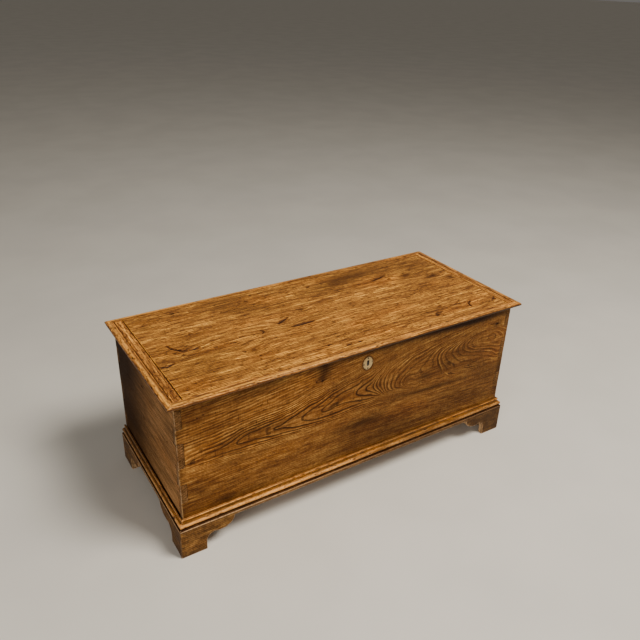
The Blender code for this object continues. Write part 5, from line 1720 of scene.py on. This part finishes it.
        # Painted shade: the nose's lower faces lose their wear and are darkened, and a dark line is painted
        # under the nose, all less towards the left; the nose is also darker towards the right.
        kept = 0.5 + 0.5 * soft_step(along, -0.3, -0.05)
        piece.wipe("wear", nose, soft_step(facing_up, 0.45, 0.9))
        piece.paint("stain_and_shade", self.nose_shade * kept * soft_step(facing_up, 0.9, 0.4) * nose)
        piece.paint("stain_and_shade", 0.32 * soft_step(along, -0.05, 0.35) * nose)
        piece.paint("dirt", (1.4 * kept - 0.45) * soft_step(below, 0.0045, 0.0085))
        from_joint = np.abs(places[:, across.value] - piece.inner(across))
        leftward = soft_step(along, -0.15, -0.4)
        piece.wipe("wear", from_joint < 0.003, 0.5 * leftward + 0.1)
        forward = 0.4 + 0.6 * soft_step(places[:, 1], 0.1, -0.2)
        shade = (0.3 + 0.4 * leftward * forward) * (0.55 if side == "left" else 1.0)
        piece.paint("dirt", shade * soft_step(from_joint, self.joint, 0.001))
        waxed = Finishes.LID_EDGE_X if axis is Axis.X else Finishes.LID_EDGE_Y
        piece.finish("lid", "elm_moulding", waxed)


def nick_strip(piece: Workpiece, axis: Axis, count: int, depth: float, seed: int) -> None:
    """Knock small nicks into the outer edge of a moulding.

    Args:
        piece: the moulding.
        axis: its length.
        count: how many nicks it gets.
        depth: the deepest nick.
        seed: shift of the pattern.
    """
    dice = np.random.default_rng(SEED + seed)
    places, normals = piece.places(), piece.normals()
    outer = axis.beside.value
    middle = (piece.low[outer] + piece.high[outer]) / 2
    proud = places[:, outer] * np.sign(middle) > abs(middle)
    stretch = np.array(axis.vector(0.45, 1.0))
    sunk = np.zeros(len(places))
    for _ in range(count):
        centre = places[dice.choice(np.flatnonzero(proud))]
        away = np.linalg.norm((places - centre) * stretch, axis=1)
        sunk = np.maximum(sunk, soft_step(away, dice.uniform(0.0018, 0.0042), 0.0) * dice.uniform(0.3, 1.0))
    piece.shift(-normals * (sunk * depth)[:, None])
    piece.paint("dirt", soft_step(sunk, 0.12, 0.7))


def paint_wear_and_highlight(piece: Workpiece, axis: Axis, strength: float, middle: float, width: float) -> None:
    """Paint a bright band on the round of a moulding, more towards the left: wear where hands and cloths rub
    it, and a painted highlight where the lamp's reflection falls.

    Args:
        piece: the moulding.
        axis: its length.
        strength: how strongly the band is painted at its strongest.
            middle: how far the band lies from the outermost side.
        middle: how far the worn band lies from the outermost side.
        width: half the band's width.
    """
    places = piece.places()
    away = np.abs(np.abs(places[:, axis.beside.value] - piece.outer(axis.beside)) - middle)
    leftward = soft_step(places[:, 0], 0.15, -0.4)
    patchy = 0.45 + 0.7 * rolling(places, axis.vector(18.0, 60.0), 31.0) + 0.6 * leftward
    piece.paint("wear", strength * soft_step(away, width, 0.0) * np.clip(patchy, 0.0, 1.0))


@dataclass
class Base(SubAssembly):
    """The base moulding, the plinth with its bracket feet, and the feet and blocks behind it."""

    strip_cell: float = 0.004
    foot_cell: float = 0.006
    rough_cell: float = 0.01
    hollow_height: float = 0.1158
    hollow_width: float = 0.0026
    quirk_height: float = 0.0978
    quirk_width: float = 0.0016
    gap_front: float = 0.0032
    gap_back: float = 0.0014
    bead: float = 0.003
    mitre_cell: float = 0.0016
    dry_depth: float = 0.006
    foot_stain: Stain = Stain((0.56, 0.04), (0.12, 0.09), 0.65)
    foot_dent: Dent = Dent((-0.577, 0.033), (0.003, 0.003), 0.002)

    def build(self) -> None:
        """Make the mouldings, the plinth boards, the rear feet and the corner blocks."""
        for side, axis in (("front", Axis.X), ("left", Axis.Y), ("right", Axis.Y)):
            self.build_moulding(side, axis)
            self.build_plinth(side, axis)
        for side in ("left", "right"):
            self.build_rear_foot(side)
            for end in ("front", "back"):
                self.build_block(end, side)

    def build_moulding(self, side: str, axis: Axis) -> None:
        """Make one length of the base moulding.

        Args:
            side: front, left or right.
            axis: its length.
        """
        piece = self.start(f"base_moulding_{side}")
        piece.slice(axis, self.strip_cell)
        nick_strip(piece, axis, 60 if side == "front" else 30, 0.0013, 40 + len(side))
        piece.weather(0.0004, 0.0007, axis, 20.0 + len(side))
        # wear, and a painted highlight on the round; the lower faces keep little of it, as painted shade
        paint_wear_and_highlight(piece, axis, 0.95, 0.001, 0.0038)
        facing_up = piece.normals()[:, 2]
        piece.wipe("wear", facing_up < 0.4, soft_step(facing_up, -0.7, 0.4))
        places = piece.places()
        along, heights = places[:, 0], places[:, 2]
        rightward = soft_step(along, -0.4, 0.1)
        # dirt and painted shade in the hollow and the quirk
        hollow = np.exp(-(((heights - self.hollow_height) / self.hollow_width) ** 2))
        quirk_dirt_and_shade = np.exp(-(((heights - self.quirk_height) / self.quirk_width) ** 2))
        piece.paint("stain_and_shade", np.maximum((0.6 + 0.15 * rightward) * hollow, 0.2 * quirk_dirt_and_shade))
        piece.paint("dirt", (0.1 + 0.25 * rightward) * quirk_dirt_and_shade)
        # dirt and painted shade on the bead's top, where it meets the board
        from_board = np.abs(places[:, axis.beside.value] - piece.inner(axis.beside))
        corner = soft_step(from_board, 0.005, 0.0) * (heights > piece.high[2] - self.bead)
        piece.paint("stain_and_shade", (0.6 + 0.3 * rightward) * corner)
        piece.paint("dirt", 0.35 * corner)
        if side == "front":
            by_right = soft_step(along, -0.25, 0.3)
            piece.paint("stain_and_shade", 0.34 * by_right)
            piece.wipe("wear", by_right > 0.0, 1.0 - 0.45 * by_right)
        # painted shade on the bead: above the hollow most wear is wiped, less towards the left
        piece.wipe("wear", heights > self.hollow_height + 0.004, 0.4 + 0.4 * soft_step(along, -0.1, -0.4))
        if side != "front":
            self.open_gap(piece)
        if side == "left":
            # painted shade: the left moulding darker and less worn towards the back
            rearward = soft_step(piece.places()[:, 1], -0.26, 0.16)
            piece.paint("stain_and_shade", 0.25 + 0.5 * rearward)
            piece.wipe("wear", rearward > 0.0, 1.0 - 0.7 * rearward)
        waxed = Finishes.MOULDING_X if axis is Axis.X else Finishes.MOULDING_Y
        piece.finish("carcass", "elm_moulding", waxed)

    def open_gap(self, piece: Workpiece) -> None:
        """Draw a side moulding's bead away from the end board, more towards the front, as it has shrunk.

        Args:
            piece: the side moulding.
        """
        places = piece.places()
        share = (places[:, 1] - piece.low[1]) / (piece.high[1] - piece.low[1])
        gap = self.gap_front + (self.gap_back - self.gap_front) * share
        close = soft_step(np.abs(places[:, 0] - piece.inner(Axis.X)), 0.0045, 0.0)
        high = soft_step(places[:, 2], piece.high[2] - 2.5 * self.bead, piece.high[2] - self.bead)
        offsets = np.zeros_like(places)
        offsets[:, 0] = np.sign(piece.outer(Axis.X)) * gap * close * high
        piece.shift(offsets)

    def build_plinth(self, side: str, axis: Axis) -> None:
        """Make one board of the plinth, with the cut outline of its two feet rubbed round.

        Args:
            side: front, left or right.
            axis: its length.
        """
        piece = self.start(f"plinth_{side}")
        outer, top = axis.beside.value, piece.high[2]
        face = piece.outer(axis.beside)
        piece.rub(0.0014, 3, lying_at(axis.beside, face))
        piece.grid((axis, Axis.Z), self.foot_cell)
        piece.slice(Axis.Z, 0.0012, span=(top - 0.005, top - 0.0014))
        for end in (piece.low[axis.value] + self.mitre_cell, piece.high[axis.value] - 2.0 * self.mitre_cell):
            piece.slice(axis, self.mitre_cell, span=(end, end + self.mitre_cell))
        piece.weather(0.0005, 0.0009, axis, 24.0 + len(side))
        places = piece.places()
        heights = places[:, 2]
        # dirt and painted shade along the top, under the base moulding
        piece.paint("dirt", 0.5 * soft_step(heights, top - 0.0014, top - 0.0004))
        piece.wipe("wear", heights > top - 0.0008)
        line = soft_step(np.abs(heights - top + 0.0026), 0.0018, 0.0006)
        piece.paint("wear", line * soft_step(places[:, 0], 0.3, -0.5))
        # darker towards the floor, and dirt and painted shade under the moulding
        piece.paint("stain_and_shade", 0.55 * soft_step(heights, 0.022, 0.0) + 0.25 * soft_step(heights, 0.08, 0.097))
        if side == "front":
            piece.stain_and_shade(FRONT, (self.foot_stain,))
            piece.carve(FRONT, (self.foot_dent,))
        waxed, dry = ((Finishes.PLINTH_X, Finishes.DRY_X) if axis is Axis.X
                      else (Finishes.PLINTH_Y, Finishes.DRY_Y))
        back = abs(face) - self.dry_depth
        piece.finish("carcass", "elm_plinth", waxed,
                     (dry, lambda middle, normal: abs(middle[outer]) < back and abs(normal[outer]) > 0.7))

    def build_rear_foot(self, side: str) -> None:
        """Make the foot board that closes a rear corner.

        Args:
            side: left or right.
        """
        piece = self.start(f"rear_foot_{side}")
        piece.rub(0.0008, 2, lambda middle, way: piece.on_box(middle, 1))
        piece.grid((Axis.X, Axis.Z), self.rough_cell)
        piece.weather(0.0005, 0.0008, Axis.X, 27.0)
        piece.finish("carcass", "pine", Finishes.PINE_FEET)

    def build_block(self, end: str, side: str) -> None:
        """Make the glued block behind a foot.

        Args:
            end: front or back.
            side: left or right.
        """
        piece = self.start(f"foot_block_{end}_{side}")
        piece.rub(0.001, 2, lambda middle, way: piece.on_box(middle))
        piece.slice(Axis.Z, self.rough_cell)
        piece.weather(0.0004, 0.0008, Axis.Z, 29.0)
        piece.finish("carcass", "pine", Finishes.PINE_BLOCKS)


@dataclass
class Metalwork(SubAssembly):
    """Hinges, nails, the box lock with its screws and the link plate under the lid."""

    hinge_arris: float = 0.0004
    nail_arris: float = 0.0002
    lock_arris: float = 0.0002
    screw_arris: float = 0.0001
    hammered: float = 0.0003
    hammer_cell: float = 0.006
    strap_nails: int = 3
    lock_screws: int = 4
    link_screws: int = 2

    def build(self) -> None:
        """Make every piece of iron and steel."""
        for side in ("left", "right"):
            self.build_hinge(side)
        for node, body in (("lock_plate", "carcass"), ("lock_case", "carcass"), ("lock_bolt", "bolt"),
                           ("link_plate", "lid")):
            self.dress(node, body, "lock_iron", Finishes.FILED, self.lock_arris)
        for screw, body, count in (("lock_screw", "carcass", self.lock_screws),
                                   ("link_screw", "lid", self.link_screws)):
            for number in range(1, count + 1):
                self.dress(f"{screw}_{number}", body, "screw_steel", Finishes.STEEL, self.screw_arris)

    def build_hinge(self, side: str) -> None:
        """Make one strap hinge with its pin and nails.

        Args:
            side: left or right.
        """
        forged = ("forged_iron", Finishes.FORGED)
        self.dress(f"hinge_strap_{side}", "lid", *forged, self.hinge_arris, Axis.Y)
        self.dress(f"hinge_tail_{side}", "carcass", *forged, self.hinge_arris, Axis.Z)
        self.dress(f"hinge_pin_{side}", "carcass", *forged, self.hinge_arris)
        for number in range(1, self.strap_nails + 1):
            self.dress(f"strap_nail_{side}_{number}", "lid", *forged, self.nail_arris)
            self.dress(f"tail_nail_{side}_{number}", "carcass", *forged, self.nail_arris)

    def dress(self, node: str, body: str, slot: str, finish: Iron, arris: float,
              length: Axis | None = None) -> None:
        """Break a metal piece's arrises, dint it with a hammer where it is forged, and finish it.

        Args:
            node: its solid.
            body: the body that it moves with.
            slot: a name for its finish's slot, handed on to the piece's finish.
            finish: its metal.
            arris: how far its arrises are broken.
            length: the axis along which it was hammered out, or none.
        """
        piece = self.start(node, "forged" if finish is Finishes.FORGED else "filed")
        piece.rub(arris, 1, anywhere)
        if length:
            piece.slice(length, self.hammer_cell)
        places = piece.places()
        proud, sunk = piece.feel()
        if length:
            dints = rolling(places, (90.0, 90.0, 90.0), 33.0)
            piece.shift(-piece.normals() * (self.hammered * soft_step(dints, -0.2, 0.7))[:, None])
        piece.paint("wear", 0.7 * soft_step(proud, math.radians(20.0), math.radians(40.0)))
        piece.paint("dirt", soft_step(sunk, math.radians(25.0), math.radians(70.0)))
        piece.finish(body, slot, finish)


@dataclass
class Escutcheon(SubAssembly):
    """The bone plate round the keyhole, slightly domed and chipped, with its two brass pins."""

    cell: float = 0.001
    dome: float = 0.0003
    hole_top: float = 0.4435
    hole_bottom: float = 0.4325
    pin_offset: float = 0.0165
    chips: tuple[Dent, ...] = (
        Dent((-0.0075, 0.4355), (0.003, 0.0042), 0.0008, 0.0, 0.8),
        Dent((0.0215, 0.439), (0.0028, 0.0036), 0.0007, 0.0, 0.75),
        Dent((-0.0025, 0.4215), (0.0022, 0.0018), 0.0006),
        Dent((0.015, 0.453), (0.0012, 0.0016), 0.0004, 0.0, 0.5),
    )
    stains: tuple[Stain, ...] = (
        Stain((0.017, 0.448), (0.01, 0.01), 0.8), Stain((0.0, 0.424), (0.01, 0.006), 0.4),
    )

    def build(self) -> None:
        """Make the plate and its pins."""
        piece = self.start("escutcheon")
        piece.rub(0.0005, 3, lying_at(Axis.Y, piece.low[1]))
        piece.grid((Axis.X, Axis.Z), self.cell, lambda middle, normal: normal.y < -FACING)
        places = piece.places()
        centre, half = (piece.low + piece.high) / 2, (piece.high - piece.low) / 2
        away = np.hypot((places[:, 0] - centre[0]) / half[0], (places[:, 2] - centre[2]) / half[2])
        front = piece.normals()[:, 1] < -0.3
        offsets = np.zeros_like(places)
        offsets[:, 1] = self.dome * away**2 * front
        piece.shift(offsets)
        piece.carve(FRONT, self.chips)
        piece.stain_and_shade(FRONT, self.stains)
        piece.paint("dirt", 0.75 * soft_step(away, 0.9, 1.02) * front)
        # painted shade round the keyhole, and grime round the pins
        piece.paint("dirt", self.hole_shade(piece.places(), centre))
        piece.finish("carcass", "bone", Finishes.BONE)
        for end in ("upper", "lower"):
            self.start(f"escutcheon_pin_{end}").finish("carcass", "brass", Finishes.BRASS)

    def hole_shade(self, places: np.ndarray, centre: np.ndarray) -> np.ndarray:
        """Return painted shade round the keyhole, which widens its dark, and grime round the pins, for
        points of the plate.

        Args:
            places: the points.
            centre: the plate's middle.

        Returns:
            The darkening at each point.
        """
        aside = places[:, 0] - centre[0]
        nearest = np.clip(places[:, 2], self.hole_bottom, self.hole_top)
        from_hole = np.hypot(aside, places[:, 2] - nearest)
        from_pin = np.hypot(aside, np.abs(places[:, 2] - centre[2]) - self.pin_offset)
        return np.maximum(soft_step(from_hole, 0.005, 0.0036), 0.95 * soft_step(from_pin, 0.0036, 0.0018))


@dataclass(frozen=True)
class SoftLight:
    """A large soft lamp that looks at the middle of the chest."""

    name: str
    place: Place
    size: float
    power: float
    colour: Colour = (1.0, 1.0, 1.0)

    def hang(self, target: Vector) -> None:
        """Hang the lamp and turn it to the target.

        Args:
            target: the point that it shines at.
        """
        lamp = bpy.data.lights.new(self.name, "AREA")
        lamp.energy = self.power
        lamp.size = self.size
        lamp.color = self.colour
        thing = bpy.data.objects.new(self.name, lamp)
        bpy.context.scene.collection.objects.link(thing)
        thing.location = self.place
        thing.rotation_euler = (target - Vector(self.place)).to_track_quat("-Z", "Y").to_euler()


@dataclass
class Studio:
    """A pale floor, soft light from the front right and above, and the camera of the view."""

    camera_place: Place = (-1.0, -1.541, 1.426)
    camera_turn: Place = (62.5, -1.55, -31.95)
    lens: float = 37.24
    sensor: float = 36.0
    floor_size: float = 120.0
    floor_colour: Colour = (0.78, 0.72, 0.62)
    floor_roughness: float = 0.75
    sky: Colour = (1.0, 0.96, 0.9)
    sky_strength: float = 0.145
    aim: Place = (0.0, 0.0, 0.25)
    lights: tuple[SoftLight, ...] = (
        SoftLight("key_light", (1.1, -2.0, 4.05), 1.6, 222.0, (1.0, 0.97, 0.92)),
        SoftLight("front_light", (-0.8, -4.2, 2.6), 2.4, 8.0),
        SoftLight("side_light", (-2.6, -1.9, 1.5), 1.6, 30.0),
    )

    def build(self) -> None:
        """Lay the floor, hang the sky and the lights, and set up the camera."""
        self.lay_floor()
        world = bpy.data.worlds.new("studio_sky")
        world.use_nodes = True
        background = world.node_tree.nodes["Background"]
        background.inputs["Color"].default_value = (*self.sky, 1.0)
        background.inputs["Strength"].default_value = self.sky_strength
        bpy.context.scene.world = world
        for light in self.lights:
            light.hang(Vector(self.aim))
        self.place_camera()

    def lay_floor(self) -> None:
        """Lay the pale floor, faintly clouded."""
        bpy.ops.object.select_all(action="DESELECT")
        bpy.ops.mesh.primitive_plane_add(size=self.floor_size, location=(0.0, 0.0, 0.0))
        floor = bpy.context.object
        floor.name = "studio_floor"
        sheet = NodeSheet("studio_floor_paint")
        cloud = sheet.noise(sheet.scaled(sheet.place(), 2.5), 3.0)
        darker = tuple(share * 0.94 for share in self.floor_colour)
        sheet.set(Base_Color=sheet.mix(sheet.step(cloud, 0.3, 0.7), self.floor_colour, darker),
                  Roughness=self.floor_roughness)
        floor.data.materials.append(sheet.material)

    def place_camera(self) -> None:
        """Set up the camera at the height and angle of the view."""
        camera = bpy.data.cameras.new("view_camera")
        camera.lens = self.lens
        camera.sensor_width = self.sensor
        camera.sensor_fit = "HORIZONTAL"
        thing = bpy.data.objects.new("view_camera", camera)
        bpy.context.scene.collection.objects.link(thing)
        thing.location = self.camera_place
        thing.rotation_euler = [math.radians(angle) for angle in self.camera_turn]
        bpy.context.scene.camera = thing


def main() -> None:
    """Build the chest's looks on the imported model."""
    logging.basicConfig(level=logging.INFO, format="%(message)s")
    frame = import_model()
    for group in (Carcass, Lid, Base, Metalwork, Escutcheon):
        group(frame["nodes"]).build()
    Studio().build()


if __name__ == "__main__":
    main()
